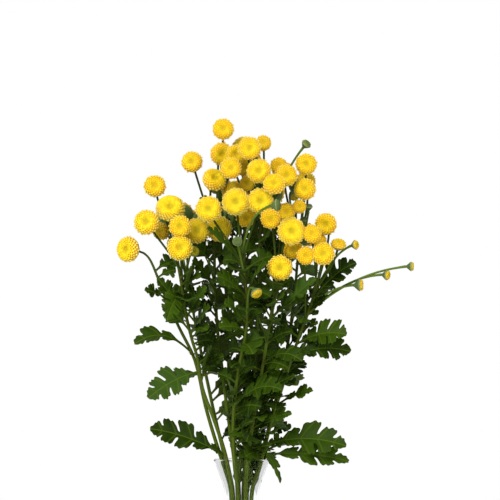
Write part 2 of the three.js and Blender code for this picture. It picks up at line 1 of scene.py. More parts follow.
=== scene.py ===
"""A bunch of yellow button feverfew in a clear glass vase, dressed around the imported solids.

The tables and the layout are in millimetres, as the part's source is. Meshes are made in metres.
"""
import logging
import math
from collections.abc import Mapping, Sequence
from dataclasses import dataclass, field
from enum import Enum
from typing import Any

import bpy
import numpy as np
from mathutils.geometry import delaunay_2d_cdt
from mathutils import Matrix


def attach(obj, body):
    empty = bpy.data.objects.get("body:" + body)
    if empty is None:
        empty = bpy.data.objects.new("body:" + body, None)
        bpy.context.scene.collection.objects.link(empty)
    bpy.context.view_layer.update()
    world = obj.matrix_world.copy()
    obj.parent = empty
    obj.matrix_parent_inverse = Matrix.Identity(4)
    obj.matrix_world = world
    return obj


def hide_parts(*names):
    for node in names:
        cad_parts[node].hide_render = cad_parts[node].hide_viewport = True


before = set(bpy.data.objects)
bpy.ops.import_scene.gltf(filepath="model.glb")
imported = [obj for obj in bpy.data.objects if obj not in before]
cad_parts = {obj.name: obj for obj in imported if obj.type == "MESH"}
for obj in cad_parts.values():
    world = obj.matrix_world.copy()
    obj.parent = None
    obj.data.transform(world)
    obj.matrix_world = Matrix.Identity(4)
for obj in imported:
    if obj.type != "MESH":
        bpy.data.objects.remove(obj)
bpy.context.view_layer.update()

Array = np.ndarray
Triple = tuple[float, float, float]
Colour = Triple
Faces = list[tuple[int, ...]]

log = logging.getLogger("feverfew")

MM = 0.001
UP = np.array((0.0, 0.0, 1.0))
GOLDEN_ANGLE = math.pi * (3 - math.sqrt(5))
BODY = "root"

# The vase and the stems' places in it, as the solids have them
VASE_HEIGHT = 200.0
FOOT_RADIUS = 34.0
BODY_RADIUS = 41.0
BODY_HEIGHT = 66.0
NECK_RADIUS = 12.1
NECK_BOTTOM = 150.0
NECK_TOP = 179.0
MOUTH_RADIUS = 19.8
GLASS = 2.0
FLOOR = 6.0
WATER_LEVEL = 108.0
OUTER_RING = 7.9
INNER_RING = 3.3
FOOT_SPREAD = 2.7
STEM_FOOT = 10.0
STEM_RADIUS = 1.5
STEM_TIP_RADIUS = 0.9
STEPS_PER_SPAN = 1.3
STALK_RADIUS = 0.8
STALK_POINTS = 15
STALK_RISE = 0.2
STALK_LEAN = 0.14
STALK_APPROACH = 0.3
STALK_SAG = 0.12
BUD_STALK_SAG = 0.0
CUP_DEPTH = 0.42
RIM_DROP = 0.12
HEAD_LIFT = 0.2
GAP = 0.3
PETIOLE_HALF_WIDTH = 0.6
PETIOLE_END = 0.17
LEAF_FOLD = 0.22
SMALL_LEAF = 9

# Room kept between pieces of different stems, which balls along them stand for
CLEARANCE = 1.1
STEM_BALL_STEP = 3
CUP_BALL_DEPTH = 0.3
CUP_BALL_RADIUS = 0.62
LEAF_BALL = 2.4
LEAF_SAMPLES = (
    (0.2, 0), (0.28, 0.5), (0.36, 0.9), (0.46, 0.9), (0.56, 0.9),
    (0.66, 0.9), (0.76, 0.9), (0.88, 0.9), (1, 0),
)
OWN_ROOM = 16
BEND_PASSES = 40
BEND_PUSH = 0.6
BEND_SMOOTHING = 0.12
NEAR_LENGTHS = 2.2
NEAR_MARGIN = 20
LEAF_SWINGS = (0, 8, -8, 16, -16, 24, -24, 34, -34, 46, -46)
LEAF_LIFTS = (0, 10, -10, 20, -20)

# Each stem: ring and direction in the neck, and its way up above the neck.
# Each head: number, stem, fork height, centre, diameter, turn and tilt. Buds are the same, unnumbered.
# Each leaf: stem, root height, tip, arch, half width and turn to the front.
STEMS_TABLE = (
    ("far_left", OUTER_RING, 180, ((-13, -1, 197), (-23, -5, 227), (-33, -7, 270), (-48, -10, 301),
    (-59, -12, 328), (-64, -13, 342))),
    ("left", OUTER_RING, 215, ((-10, -9, 197), (-17, -14, 222), (-27, -17, 248), (-31, -18, 272),
    (-37, -19, 292), (-41, -20, 315), (-43, -21, 332))),
    ("front_left", OUTER_RING, 250, ((-5, -12, 197), (-6, -16, 222), (-4, -21, 250), (0, -26, 275),
    (4, -29, 298), (3, -31, 322), (0, -32, 343))),
    ("front_right", OUTER_RING, 290, ((4, -13, 197), (7, -17, 221), (12, -22, 250), (17, -27, 280),
    (21, -30, 305), (24, -31, 322))),
    ("right", OUTER_RING, 335, ((13, -6, 197), (19, -10, 221), (28, -14, 250), (37, -18, 278),
    (46, -21, 302), (53, -23, 322))),
    ("back_right", OUTER_RING, 15, ((13, 4, 197), (20, 7, 225), (28, 8, 257), (34, 7, 290),
    (38, 4, 322), (40, 0, 350))),
    ("far_back_right", OUTER_RING, 60, ((7, 12, 197), (12, 18, 225), (17, 24, 257), (21, 27, 290),
    (23, 28, 320))),
    ("back", OUTER_RING, 105, ((-4, 13, 197), (-7, 19, 225), (-9, 25, 257), (-10, 28, 290),
    (-9, 29, 325), (-8, 29, 345))),
    ("back_left", OUTER_RING, 145, ((-11, 8, 197), (-18, 12, 225), (-25, 16, 257), (-32, 19, 290),
    (-38, 20, 322))),
    ("inner_left", INNER_RING, 190, ((-5, -1, 197), (-9, -2, 225), (-13, -3, 257), (-17, -2, 290),
    (-19, 2, 325), (-19, 5, 355), (-17, 4, 378))),
    ("inner_right", INNER_RING, 310, ((3, -4, 197), (6, -7, 225), (9, -10, 257), (11, -12, 290),
    (12, -13, 325), (13, -14, 355), (14, -15, 375))),
    ("inner_back", INNER_RING, 70, ((2, 5, 197), (2, 8, 225), (2, 10, 257), (2, 11, 290),
    (2, 11, 325), (2, 9, 355), (1, 6, 385))),
)

HEADS_TABLE = (
    (1, "inner_left", 376, -13, -6, 432, 15, 0, 8),
    (2, "inner_left", 370, -14, -4, 414.5, 16, 12, -6),
    (3, "inner_left", 352, -35, -6, 409, 15, -5, 10),
    (4, "left", 332, -61, -8, 392, 15.5, 0, 10),
    (5, "left", 330, -50, -16, 376.5, 20, 0, 30),
    (6, "left", 332, -66.5, -24, 366.5, 17.5, -10, 10),
    (7, "far_left", 342, -80, -15, 347.5, 18, -38, 0),
    (8, "left", 326, -57, -1.5, 360, 13, -25, -15),
    (9, "left", 322, -43, -32, 363.5, 15.5, -5, 0),
    (10, "left", 316, -31.5, -17, 360.5, 17.5, 5, 6),
    (11, "front_left", 335, -23, -34, 375.5, 18, 0, 5),
    (12, "front_left", 343, -4, -37, 380.5, 19, -5, 4),
    (13, "inner_left", 355, -19, -17, 396.5, 17, 22, 30),
    (14, "inner_left", 376, -7.5, -29, 404, 15, 0, 10),
    (15, "inner_back", 381, 5.5, -31, 418, 16, 0, 4),
    (16, "inner_back", 378, -4, -15, 414, 14, 5, 5),
    (17, "inner_right", 373, 15, -15, 422, 11.5, -5, 15),
    (18, "inner_back", 383, 2, 7, 418.5, 17.5, 0, 10),
    (19, "inner_right", 365, 12, -34, 402, 17, -5, 6),
    (20, "inner_right", 350, 4, -17, 393.5, 11, 0, -8),
    (21, "inner_right", 345, 22.5, -44, 393, 15.5, -5, 28),
    (22, "inner_right", 360, 31, -30, 399, 15.5, 5, 5),
    (23, "inner_right", 365, 26, -14, 406, 12.5, 0, 15),
    (24, "back_right", 350, 45, -22, 407, 15, -3, 3),
    (25, "back_right", 345, 44, -26, 389.5, 15.5, -15, 6),
    (26, "front_left", 338, 13, -37, 381, 18, 0, 4),
    (27, "inner_left", 345, -6, -12, 387, 16, 0, 10),
    (28, "front_left", 330, 3, -20, 370, 14, 0, 5),
    (29, "front_left", 322, -16, -9, 362, 18, 0, -5),
    (30, "front_right", 322, 20, -42, 368.5, 14, -5, -6),
    (31, "front_right", 318, 30.5, -29, 373, 14, 10, 5),
    (32, "front_right", 318, 40.3, -29.5, 377.3, 10, 12, 8),
    (33, "front_right", 305, 34.5, -45, 360, 19, 4, 4),
    (34, "right", 318, 48.8, -45, 358.3, 13, 0, 4),
    (35, "right", 322, 58.5, -28, 365, 15.5, -18, -8),
    (36, "right", 318, 67.5, -33, 351.5, 11, 15, 60),
    (37, "right", 312, 53.5, -22, 353.5, 12, 0, 12),
    (38, "right", 302, 56.5, -44, 344.5, 16, 0, 8),
    (39, "right", 296, 44.5, -43.5, 343, 13, 6, -5),
    (40, "front_right", 305, 35.6, -27, 347.5, 14, 0, -6),
    (41, "front_right", 285, 26.5, -42, 334.5, 17.5, 0, 0),
    (42, "left", 305, -43, -32, 348.5, 17.5, 0, 0),
    (43, "inner_back", 370, 1.5, -3, 405.5, 13, 5, 0),
    (44, "back_right", 350, 45, -5, 396, 14, 0, 30),
    (45, "back", 345, -4, 36, 388, 18, 180, 20),
    (46, "back", 345, 9.5, 33, 397, 17, 178, 22),
    (47, "back", 340, -17, 34, 395, 17, -178, 22),
    (48, "back", 325, -12, 48, 368, 18, 180, 4),
    (49, "back", 325, 4, 48, 370.5, 18, 180, 6),
    (50, "inner_back", 380, 6, 20, 411, 16, 175, 35),
    (51, "back_left", 322, -54, 22, 368, 16, -160, 15),
    (52, "back_left", 322, -42.5, 28, 373, 16, -165, 15),
    (53, "back_left", 318, -30, 33, 368, 17, -172, 8),
    (54, "back_left", 315, -33, 31, 354, 16, -170, 0),
    (55, "back_right", 345, 30, 15, 402, 16, 178, 30),
    (56, "back_right", 340, 41, 19, 393, 16, 165, 25),
    (57, "far_back_right", 320, 22, 36, 388, 17, 175, 18),
    (58, "far_back_right", 320, 33, 44, 363, 17, 170, 5),
    (59, "far_back_right", 318, 46, 38, 358, 17, 160, 5),
    (60, "far_back_right", 305, 29, 33, 342, 16, 175, -5),
)

BUDS_TABLE = (
    ("inner_right", 372, 45, -15, 421, 7.5, 60, 45),
    ("front_left", 343, 24, -56, 378, 9, 80, 5),
    ("back_right", 345, 46.5, -20, 377, 6.5, 0, 80),
    ("back_right", 340, 43.5, -16, 368, 6, 10, 70),
    ("back_right", 345, 37, -14, 385, 8, 40, -40),
    ("right", 322, 79, -27, 350.5, 7, 60, 10),
    ("right", 308, 82, -26, 322.5, 9, 85, 0),
    ("right", 302, 101, -24, 329.5, 7.5, 70, -5),
    ("right", 302, 118, -23, 335.5, 7, 85, 0),
    ("front_left", 300, 10, -47, 317.5, 9, 45, -45),
    ("front_left", 325, -3, -45, 353, 7, 0, 10),
    ("left", 315, -33.5, -17, 346, 8, 20, 10),
    ("back_left", 322, -50, 40, 352, 8, -140, 10),
    ("back", 330, -4, 56, 350, 8, 180, 0),
)

LEAVES_TABLE = (
    ("far_left", 275, -75, -18, 281, 9, 8, 45),
    ("left", 262, -65, -34, 244, 3, 12, 62),
    ("left", 203, -64, -20, 222, 3, 12, 62),
    ("right", 281, 73, -32, 288, 4, 12, 55),
    ("right", 272, 76, -22, 276, 4, 11, 60),
    ("right", 312, 80, -24, 338, 4, 11, 52),
    ("front_right", 298, 52, -42, 327, 2, 8, 55),
    ("right", 210, 73, -22, 210, 5, 13, 60),
    ("right", 203, 70, -32, 199, 3, 9, 60),
    ("front_right", 204, 27, -21, 184, 12, 5, 20),
    ("right", 238, 50, -26, 249, 2, 6, 50),
    ("front_right", 245, 37, -36, 260, 1, 6, 50),
    ("front_right", 222, 35, -30, 233, 2, 6, 50),
    ("front_right", 268, 42, -46, 270, 6, 8, 45),
    ("far_left", 313, -68, -18, 319, 1, 6, 55),
    ("left", 298, -57, -28, 327, 1, 9, 60),
    ("left", 315, -52, -42, 298, 6, 9, 60),
    ("left", 288, -22, -36, 307, 2, 9, 60),
    ("left", 308, -34, -36, 337, 1, 8, 60),
    ("inner_left", 302, -28, -16, 324, 1, 8, 50),
    ("inner_left", 322, -32, -22, 341, 1, 7, 50),
    ("front_left", 314, -17, -46, 329, 2, 8, 55),
    ("front_left", 296, -12, -46, 310, 2, 8, 55),
    ("front_left", 318, 17, -50, 337, 2, 8, 50),
    ("front_left", 336, -24, -50, 362, 2, 7, 50),
    ("front_left", 238, -10, -37, 257, 1, 6.5, 60),
    ("front_left", 238, 31, -40, 250, 7, 10, 55),
    ("front_right", 282, 14, -50, 293, 3, 8, 50),
    ("left", 202, -23, -20, 209, 1, 5, 50),
    ("left", 255, -21, -33, 280, 2, 9, 60),
    ("back_right", 300, 66, 4, 320, 5, 10, 20),
    ("back_right", 266, 68, 16, 279, 6, 11, -30),
    ("back_right", 205, 61, 18, 208, 5, 11, -30),
    ("far_back_right", 290, 46, 52, 300, 8, 11, -40),
    ("far_back_right", 250, 40, 54, 250, 8, 8.8, -40),
    ("back", 305, -28, 58, 318, 6, 10, -50),
    ("back", 268, 8, 62, 276, 8, 8.8, -50),
    ("back_left", 296, -56, 40, 304, 6, 8.8, -35),
    ("back_left", 258, -54, 32, 249, 4, 8.8, -35),
)

TOUCHING_TABLE = (
    (9, 42), (12, 26), (33, 34), (38, 39), (31, 32), (45, 46, 47, 57), (48, 49),
    (51, 52, 53, 54), (55, 56), (58, 59)
)

# How greenish some heads and the buds are, where more than 1 is still closed, and how much painted
# shade darkens the colour of some heads that sit in shadow
YOUNG_HEADS = {17: 0.18, 20: 0.3, 36: 0.15, 32: 0.15}
PAINTED_SHADE_HEADS = {8: 0.6, 10: 0.3, 27: 0.4, 29: 0.3, 43: 0.4, 44: 0.45, 12: 0.1}
BUD_YOUTH = (1.3, 1.6, 1.6, 1.6, 0.5, 0.3, 0.3, 0.35, 0.5, 0.4, 1.6, 0.8, 0.5, 0.5)

# How far left and right small leaves reach at some heights, as seen from the front
FOLIAGE_HEIGHTS = (200, 221, 242, 256, 266, 280, 298, 312, 333, 354)
FOLIAGE_LEFT = (-6, -8, -11, -12, -28, -33, -44, -53, -52, -42)
FOLIAGE_RIGHT = (38, 38, 32, 42, 48, 54, 58, 62, 62, 60)

# Below these heights a stem has no small leaves
BARE_BELOW = {"far_left": 300, "left": 258}

# Small leaves in the neck, beside the right buds and in gaps of the bunch, as in the table of leaves
PLACED_LEAVES = (
    ("inner_right", 164, 5, -6, 200, 0, 4.2, -40),
    ("inner_back", 166, 7.5, 3.5, 204, 0, 4.4, -86),
    ("inner_left", 172, -0.5, -5.5, 206, 0, 4.4, -29),
    ("back_right", 172, 12, 3, 202, 0, 3.2, -103),
    ("right", 303, 61, -27, 314, 1, 6, 60),
    ("inner_left", 318, -33, -8, 340, 2, 8, 60),
    ("left", 290, -45, -6, 312, 2, 9, 60),
    ("inner_right", 335, 23, -20, 357, 2, 8, 55),
    ("inner_right", 350, 30, -8, 363, 2, 7, 60),
    ("inner_back", 335, 11, 8, 361, 2, 9, 60),
    ("inner_back", 352, -10, 4, 368, 2, 7, 60),
    ("far_back_right", 312, 32, 22, 338, 2, 10, 60),
    ("back_right", 292, 45, -2, 314, 2, 8, 60),
    ("back", 330, 4, 20, 352, 2, 9, 60),
)


def unit(v: Array) -> Array:
    """The vector, or each row of vectors, at length one."""
    return v / np.linalg.norm(v, axis=-1, keepdims=True)


def facing(turn: float, tilt: float) -> Array:
    """A direction given by two angles.

    Args:
        turn: Degrees to the right from the front.
        tilt: Degrees up.

    Returns:
        The direction, at length one.
    """
    level = math.cos(math.radians(tilt))
    across = math.sin(math.radians(turn)) * level
    forward = -math.cos(math.radians(turn)) * level
    return np.array((across, forward, math.sin(math.radians(tilt))))


def turned(v: Array, axis: Array, degrees: float) -> Array:
    """Turns a vector about an axis.

    Args:
        v: The vector.
        axis: The axis, of length one.
        degrees: How far it turns.

    Returns:
        The turned vector.
    """
    angle = math.radians(degrees)
    return (
        v * math.cos(angle)
        + np.cross(axis, v) * math.sin(angle)
        + axis * (axis @ v) * (1 - math.cos(angle))
    )


def smoothstep(x: Array | float, low: float, high: float) -> Any:
    """Zero below low, one above high, and smooth between them."""
    share = np.clip((np.asarray(x, float) - low) / (high - low), 0, 1)
    return share * share * (3 - 2 * share)


def spline(points: Array, count: int) -> Array:
    """Points on a centripetal Catmull-Rom curve through the given ones.

    Args:
        points: The points that the curve passes through.
        count: The number of equal steps in the curve's own parameter.

    Returns:
        One point more than the count.
    """
    last = len(points) - 1
    padded = np.vstack((2 * points[0] - points[1], points, 2 * points[-1] - points[-2]))
    made = []
    for step in range(count + 1):
        at = last * step / count
        i = min(int(at), last - 1)
        w = at - i
        p0, p1, p2, p3 = padded[i:i + 4]
        d0, d1, d2 = (math.sqrt(np.linalg.norm(b - a)) for a, b in ((p0, p1), (p1, p2), (p2, p3)))
        t1 = d1 * ((p1 - p0) / d0 - (p2 - p0) / (d0 + d1) + (p2 - p1) / d1)
        t2 = d1 * ((p2 - p1) / d1 - (p3 - p1) / (d1 + d2) + (p3 - p2) / d2)
        square = 3 * (p2 - p1) - 2 * t1 - t2
        cube = 2 * (p1 - p2) + t1 + t2
        made.append(p1 + t1 * w + square * w**2 + cube * w**3)
    return np.array(made)


@dataclass
class Balls:
    """What is placed already, as balls that later pieces keep clear of."""

    centres: list[Array] = field(default_factory=list)
    radii: list[float] = field(default_factory=list)
    owners: list[str] = field(default_factory=list)

    def add(self, points: Sequence[Array] | Array, radius: float, owner: str) -> None:
        """Puts a ball on each point.

        Args:
            points: The balls' centres.
            radius: The radius of them all.
            owner: Whose balls they are.
        """
        self.centres.extend(points)
        self.radii.extend([radius] * len(points))
        self.owners.extend([owner] * len(points))

    def arrays(self) -> tuple[Array, Array, Array]:
        """The centres, radii and owners as arrays."""
        return np.array(self.centres), np.array(self.radii), np.array(self.owners)

    def bend_clear(self, points: Array, radius: float, owners: Sequence[str]) -> Array:
        """Bends a chain of points clear of the balls of other owners, with its two ends held.

        Args:
            points: The chain, which is changed in place.
            radius: The radius of what runs along it.
            owners: Whose balls it may touch.

        Returns:
            The chain.
        """
        centres, radii, names = self.arrays()
        other = ~np.isin(names, owners)
        centres, reach = centres[other], radii[other] + radius + CLEARANCE
        for _ in range(BEND_PASSES):
            for i in range(1, len(points) - 1):
                away = points[i] - centres
                distance = np.linalg.norm(away, axis=1)
                lack = reach - distance
                near = lack > 0
                push = (away[near] * (lack[near] / distance[near])[:, None]).sum(0)
                middle = (points[i - 1] + points[i + 1]) / 2
                points[i] += push * BEND_PUSH
                points[i] += (middle - points[i]) * BEND_SMOOTHING
        return points


@dataclass
class Stem:
    """A main stem: its line from the foot to the top, and the heights where something leaves it."""

    name: str
    line: Array
    forks: list[float] = field(default_factory=list)

    @classmethod
    def routed(cls, name: str, ring: float, direction: float, route: Sequence[Sequence[float]]) -> "Stem":
        """The stem from its foot in the water, through its place in the neck, and up its route.

        Args:
            name: The stem's place in the bunch.
            ring: How far from the axis it stands in the neck.
            direction: Degrees round the axis there.
            route: Its points above the neck.

        Returns:
            The stem.
        """
        outward = np.array((math.cos(math.radians(direction)), math.sin(math.radians(direction)), 0.0))
        neck = outward * ring + UP * NECK_TOP
        upper = spline(np.vstack((neck, np.array(route, float))), int(len(route) * STEPS_PER_SPAN + 0.5))
        foot = outward * ring * FOOT_SPREAD + UP * STEM_FOOT
        return cls(name, np.vstack((foot, outward * ring + UP * NECK_BOTTOM, upper)))

    @property
    def top(self) -> float:
        """The height of the stem's top."""
        return float(self.line[-1, 2])

    def at(self, z: float) -> tuple[Array, Array]:
        """Finds a place on the stem.

        Args:
            z: The height.

        Returns:
            The place at that height and the stem's direction there.
        """
        above = np.flatnonzero(self.line[:, 2] >= z)
        i = int(above[0]) if len(above) and above[0] >= 1 else len(self.line) - 1
        low, high = self.line[i - 1], self.line[i]
        share = min(1.0, (z - low[2]) / (high[2] - low[2]))
        return low + (high - low) * share, unit(high - low)

    def stalk(
        self, fork: float, end: Array, face: Array, sag: float, owners: Sequence[str], balls: Balls
    ) -> Array:
        """The stalk's line from the stem to the back of a head or bud, bent clear of other stems' pieces.

        Args:
            fork: The height where it leaves the stem.
            end: Its far end.
            face: The direction that it ends in.
            sag: How far it comes from below, as a share of its reach.
            owners: Whose balls it may touch.
            balls: What is placed already.

        Returns:
            The points of the line.
        """
        place, along = self.at(fork)
        reach = np.linalg.norm(end - place)
        rise = place + along * reach * STALK_RISE
        approach = end - face * reach * STALK_APPROACH - UP * reach * sag
        rise += (end - rise) * STALK_LEAN
        t = np.linspace(0, 1, STALK_POINTS + 1)[:, None]
        curve = (
            (1 - t)**3 * place + 3 * (1 - t)**2 * t * rise
            + 3 * (1 - t) * t**2 * approach + t**3 * end
        )
        self.forks.append(fork)
        return balls.bend_clear(curve, STALK_RADIUS, owners)


@dataclass
class Flower:
    """An open head or a bud: where it sits, where it faces, and the line of its stalk."""

    number: int
    stem: str
    radius: float
    centre: Array
    face: Array
    fork: float = 0.0
    stalk: Array | None = None

    @property
    def seat(self) -> Array:
        """The middle of an open head's underside."""
        return self.centre - self.face * HEAD_LIFT * self.radius

    @property
    def cup_end(self) -> Array:
        """Where an open head's stalk meets its cup."""
        return self.seat - self.face * (RIM_DROP * self.radius + GAP + CUP_DEPTH * self.radius)


@dataclass
class Leaf:
    """A lobed leaf: its midrib is an arc in an upright plane, and its face is turned about it."""

    stem: str
    root: Array
    tip: Array
    arch: float
    half_width: float
    turn: float

    @property
    def length(self) -> float:
        """The length of the straight line from the root to the tip."""
        return float(np.linalg.norm(self.tip - self.root))

    def place(self, t: Array, w: Array, lift: Array | float = 0.0) -> Array:
        """Places on the blade.

        Args:
            t: Shares of the length from the root to the tip.
            w: Shares of the half width, negative on the other half.
            lift: Heights above the middle of the thickness.

        Returns:
            A row for each place.
        """
        chord = self.tip - self.root
        control = (self.root + self.tip) / 2 + UP * 2 * self.arch
        t, w = np.atleast_1d(t).astype(float)[:, None], np.atleast_1d(w).astype(float)[:, None]
        lift = np.reshape(np.broadcast_to(lift, len(t)), (-1, 1))
        at = (1 - t)**2 * self.root + 2 * (1 - t) * t * control + t**2 * self.tip
        along = unit((1 - t) * (control - self.root) + t * (self.tip - control))
        level = unit(np.array((-chord[1], chord[0], 0.0)))
        angle = math.radians(self.turn if chord[0] >= 0 else -self.turn)
        side = level * math.cos(angle) + np.cross(along, level) * math.sin(angle)
        above = np.cross(along, side)
        return at + side * w * self.half_width + above * (np.abs(w) * self.half_width * LEAF_FOLD + lift)

    def samples(self) -> Array:
        """Places spread over the blade, which balls are put on.

        Returns:
            A row for each place.
        """
        pairs = []
        for t, reach in LEAF_SAMPLES:
            widths = (-reach, -reach / 2, 0, reach / 2, reach) if reach else (0,)
            pairs.extend((t, w) for w in widths)
        t, w = np.array(pairs).T
        return self.place(t, w)

    def room(self, centres: Array, radii: Array, own: Array) -> float:
        """The least room to the balls.

        Args:
            centres: The balls' centres.
            radii: Their radii.
            own: Which balls are of the leaf's own stem, and don't count near its root.

        Returns:
            The room, less than zero where the leaf is too near.
        """
        kept = ~(own & (np.linalg.norm(centres - self.root, axis=1) < OWN_ROOM))
        apart = np.linalg.norm(self.samples()[:, None] - centres[kept], axis=2)
        return float((apart - radii[kept] - CLEARANCE).min())

    def cleared(
        self, balls: Balls, lifts: Sequence[int] = LEAF_LIFTS, swings: Sequence[int] = LEAF_SWINGS
    ) -> tuple["Leaf", float]:
        """The leaf as given, or swung and lifted by the least that brings it clear.

        Args:
            balls: What is placed already.
            lifts: Degrees to try upwards.
            swings: Degrees to try sideways for each lift.

        Returns:
            The leaf and its room.
        """
        centres, radii, names = balls.arrays()
        reach = NEAR_LENGTHS * self.length + NEAR_MARGIN
        near = np.linalg.norm(centres - self.root, axis=1) < reach
        centres, radii, own = centres[near], radii[near], names[near] == self.stem
        best, most = self, -math.inf
        for lift in lifts:
            for swing in swings:
                chord = turned(self.tip - self.root, UP, swing)
                level = unit(np.array((-chord[1], chord[0], 0.0)))
                tip = self.root + turned(chord, level, -lift)
                moved = Leaf(self.stem, self.root, tip, self.arch, self.half_width, self.turn)
                room = moved.room(centres, radii, own)
                if room > most:
                    best, most = moved, room
                if room >= 0:
                    return moved, room
        return best, most


@dataclass
class Layout:
    """Where every piece of the plants is, worked out in the same order as the solids."""

    stems: dict[str, Stem] = field(default_factory=dict)
    heads: dict[int, Flower] = field(default_factory=dict)
    buds: list[Flower] = field(default_factory=list)
    leaves: list[Leaf] = field(default_factory=list)
    balls: Balls = field(default_factory=Balls)

    def arrange(self) -> "Layout":
        """Places stems, heads, stalks, buds and leaves, each clear of what is there before it.

        Returns:
            The layout itself.
        """
        self._place_stems()
        self._place_heads()
        self._place_stalks()
        self._place_buds()
        self._place_leaves()
        return self

    def _place_stems(self) -> None:
        """Places the stems, with balls along them."""
        for name, ring, direction, route in STEMS_TABLE:
            stem = Stem.routed(name, ring, direction, route)
            self.stems[name] = stem
            self.balls.add(self._dense(stem.line), STEM_RADIUS, name)

    def _place_heads(self) -> None:
        """Places the heads, with a ball for each head and one for its cup."""
        for number, stem, fork, x, y, z, diameter, turn, tilt in HEADS_TABLE:
            place = np.array((x, y, z), float)
            head = Flower(number, stem, diameter / 2, place, facing(turn, tilt), fork)
            cup = head.seat - head.face * head.radius * CUP_BALL_DEPTH
            self.heads[number] = head
            self.balls.add([head.centre], head.radius, f"head {number}")
            self.balls.add([cup], head.radius * CUP_BALL_RADIUS, f"head {number}")

    def _place_stalks(self) -> None:
        """Runs a stalk from each head's stem to its cup."""
        for head in self.heads.values():
            owners = (head.stem, f"head {head.number}")
            stem = self.stems[head.stem]
            head.stalk = stem.stalk(head.fork, head.cup_end, head.face, STALK_SAG, owners, self.balls)
            self.balls.add(head.stalk, STALK_RADIUS, head.stem)

    def _place_buds(self) -> None:
        """Places the buds on their stalks."""
        for number, (name, fork, x, y, z, diameter, turn, tilt) in enumerate(BUDS_TABLE):
            face, radius = facing(turn, tilt), diameter / 2
            bud = Flower(number, name, radius, np.array((x, y, z), float), face, fork)
            end = bud.centre - face * radius
            bud.stalk = self.stems[name].stalk(fork, end, face, BUD_STALK_SAG, (name,), self.balls)
            self.balls.add(bud.stalk, STALK_RADIUS, name)
            self.balls.add([bud.centre], radius, name)
            self.buds.append(bud)

    def _place_leaves(self) -> None:
        """Places the larger leaves, each turned clear."""
        for name, root_height, x, y, z, arch, half_width, turn in LEAVES_TABLE:
            stem = self.stems[name]
            stem.forks.append(root_height)
            root = stem.at(root_height)[0]
            asked = Leaf(name, root, np.array((x, y, z), float), arch, half_width, turn)
            leaf, _ = asked.cleared(self.balls)
            self.balls.add(leaf.samples(), LEAF_BALL, name)
            self.leaves.append(leaf)

    @staticmethod
    def _dense(points: Array) -> Array:
        """Fills the straight lines between points.

        Args:
            points: The given points.

        Returns:
            Points no further apart than a stem's ball step.
        """
        made = []
        for a, b in zip(points[:-1], points[1:]):
            count = max(1, math.ceil(np.linalg.norm(b - a) / STEM_BALL_STEP))
            made.extend(a + (b - a) * k / count for k in range(count))
        return np.array([*made, points[-1]])


def srgb(red: float, green: float, blue: float) -> Colour:
    """A colour given as it is seen, from 0 to 255, as the linear values that shaders use."""
    shares = (c / 255 for c in (red, green, blue))
    return tuple(c / 12.92 if c <= 0.04045 else ((c + 0.055) / 1.055)**2.4 for c in shares)


class Link:
    """One output in a node tree. An expression on links and numbers adds Math nodes."""

    def __init__(self, graph: "Graph", socket: bpy.types.NodeSocket) -> None:
        """Keeps the tree and the socket."""
        self.graph = graph
        self.socket = socket

    def maths(self, operation: str, *values: "Link | float") -> "Link":
        """The result of a Math node on the values."""
        return self.graph.node("ShaderNodeMath", {"operation": operation}, dict(enumerate(values)))[0]

    def __add__(self, other: "Link | float") -> "Link":
        """The sum."""
        return self.maths("ADD", self, other)

    def __radd__(self, other: float) -> "Link":
        """The sum, with the number first."""
        return self.maths("ADD", other, self)

    def __sub__(self, other: "Link | float") -> "Link":
        """The difference."""
        return self.maths("SUBTRACT", self, other)

    def __rsub__(self, other: float) -> "Link":
        """The difference, with the number first."""
        return self.maths("SUBTRACT", other, self)

    def __mul__(self, other: "Link | float") -> "Link":
        """The product."""
        return self.maths("MULTIPLY", self, other)

    def __rmul__(self, other: float) -> "Link":
        """The product, with the number first."""
        return self.maths("MULTIPLY", other, self)

    def __truediv__(self, other: "Link | float") -> "Link":
        """The quotient."""
        return self.maths("DIVIDE", self, other)

    def __pow__(self, other: "Link | float") -> "Link":
        """The power."""
        return self.maths("POWER", self, other)

    def most(self, other: "Link | float") -> "Link":
        """The larger of the two."""
        return self.maths("MAXIMUM", self, other)

    def ranged(self, low: float, high: float, start: float = 0.0, end: float = 1.0) -> "Link":
        """The value mapped smoothly from one range to another.

        Args:
            low: The start of the first range.
            high: The end of the first range.
            start: What the first start becomes.
            end: What the first end becomes.

        Returns:
            The mapped value.
        """
        sockets = {"Value": self, "From Min": low, "From Max": high, "To Min": start, "To Max": end}
        return self.graph.node("ShaderNodeMapRange", {"interpolation_type": "SMOOTHSTEP"}, sockets)[0]


class Outputs:
    """A node that was made, whose outputs are picked by name, identifier or number."""

    def __init__(self, graph: "Graph", node: bpy.types.Node) -> None:
        """Keeps the tree and the node."""
        self.graph = graph
        self.node = node

    def __getitem__(self, key: str | int) -> Link:
        """The output as a link."""
        return Link(self.graph, Graph.socket(self.node.outputs, key))


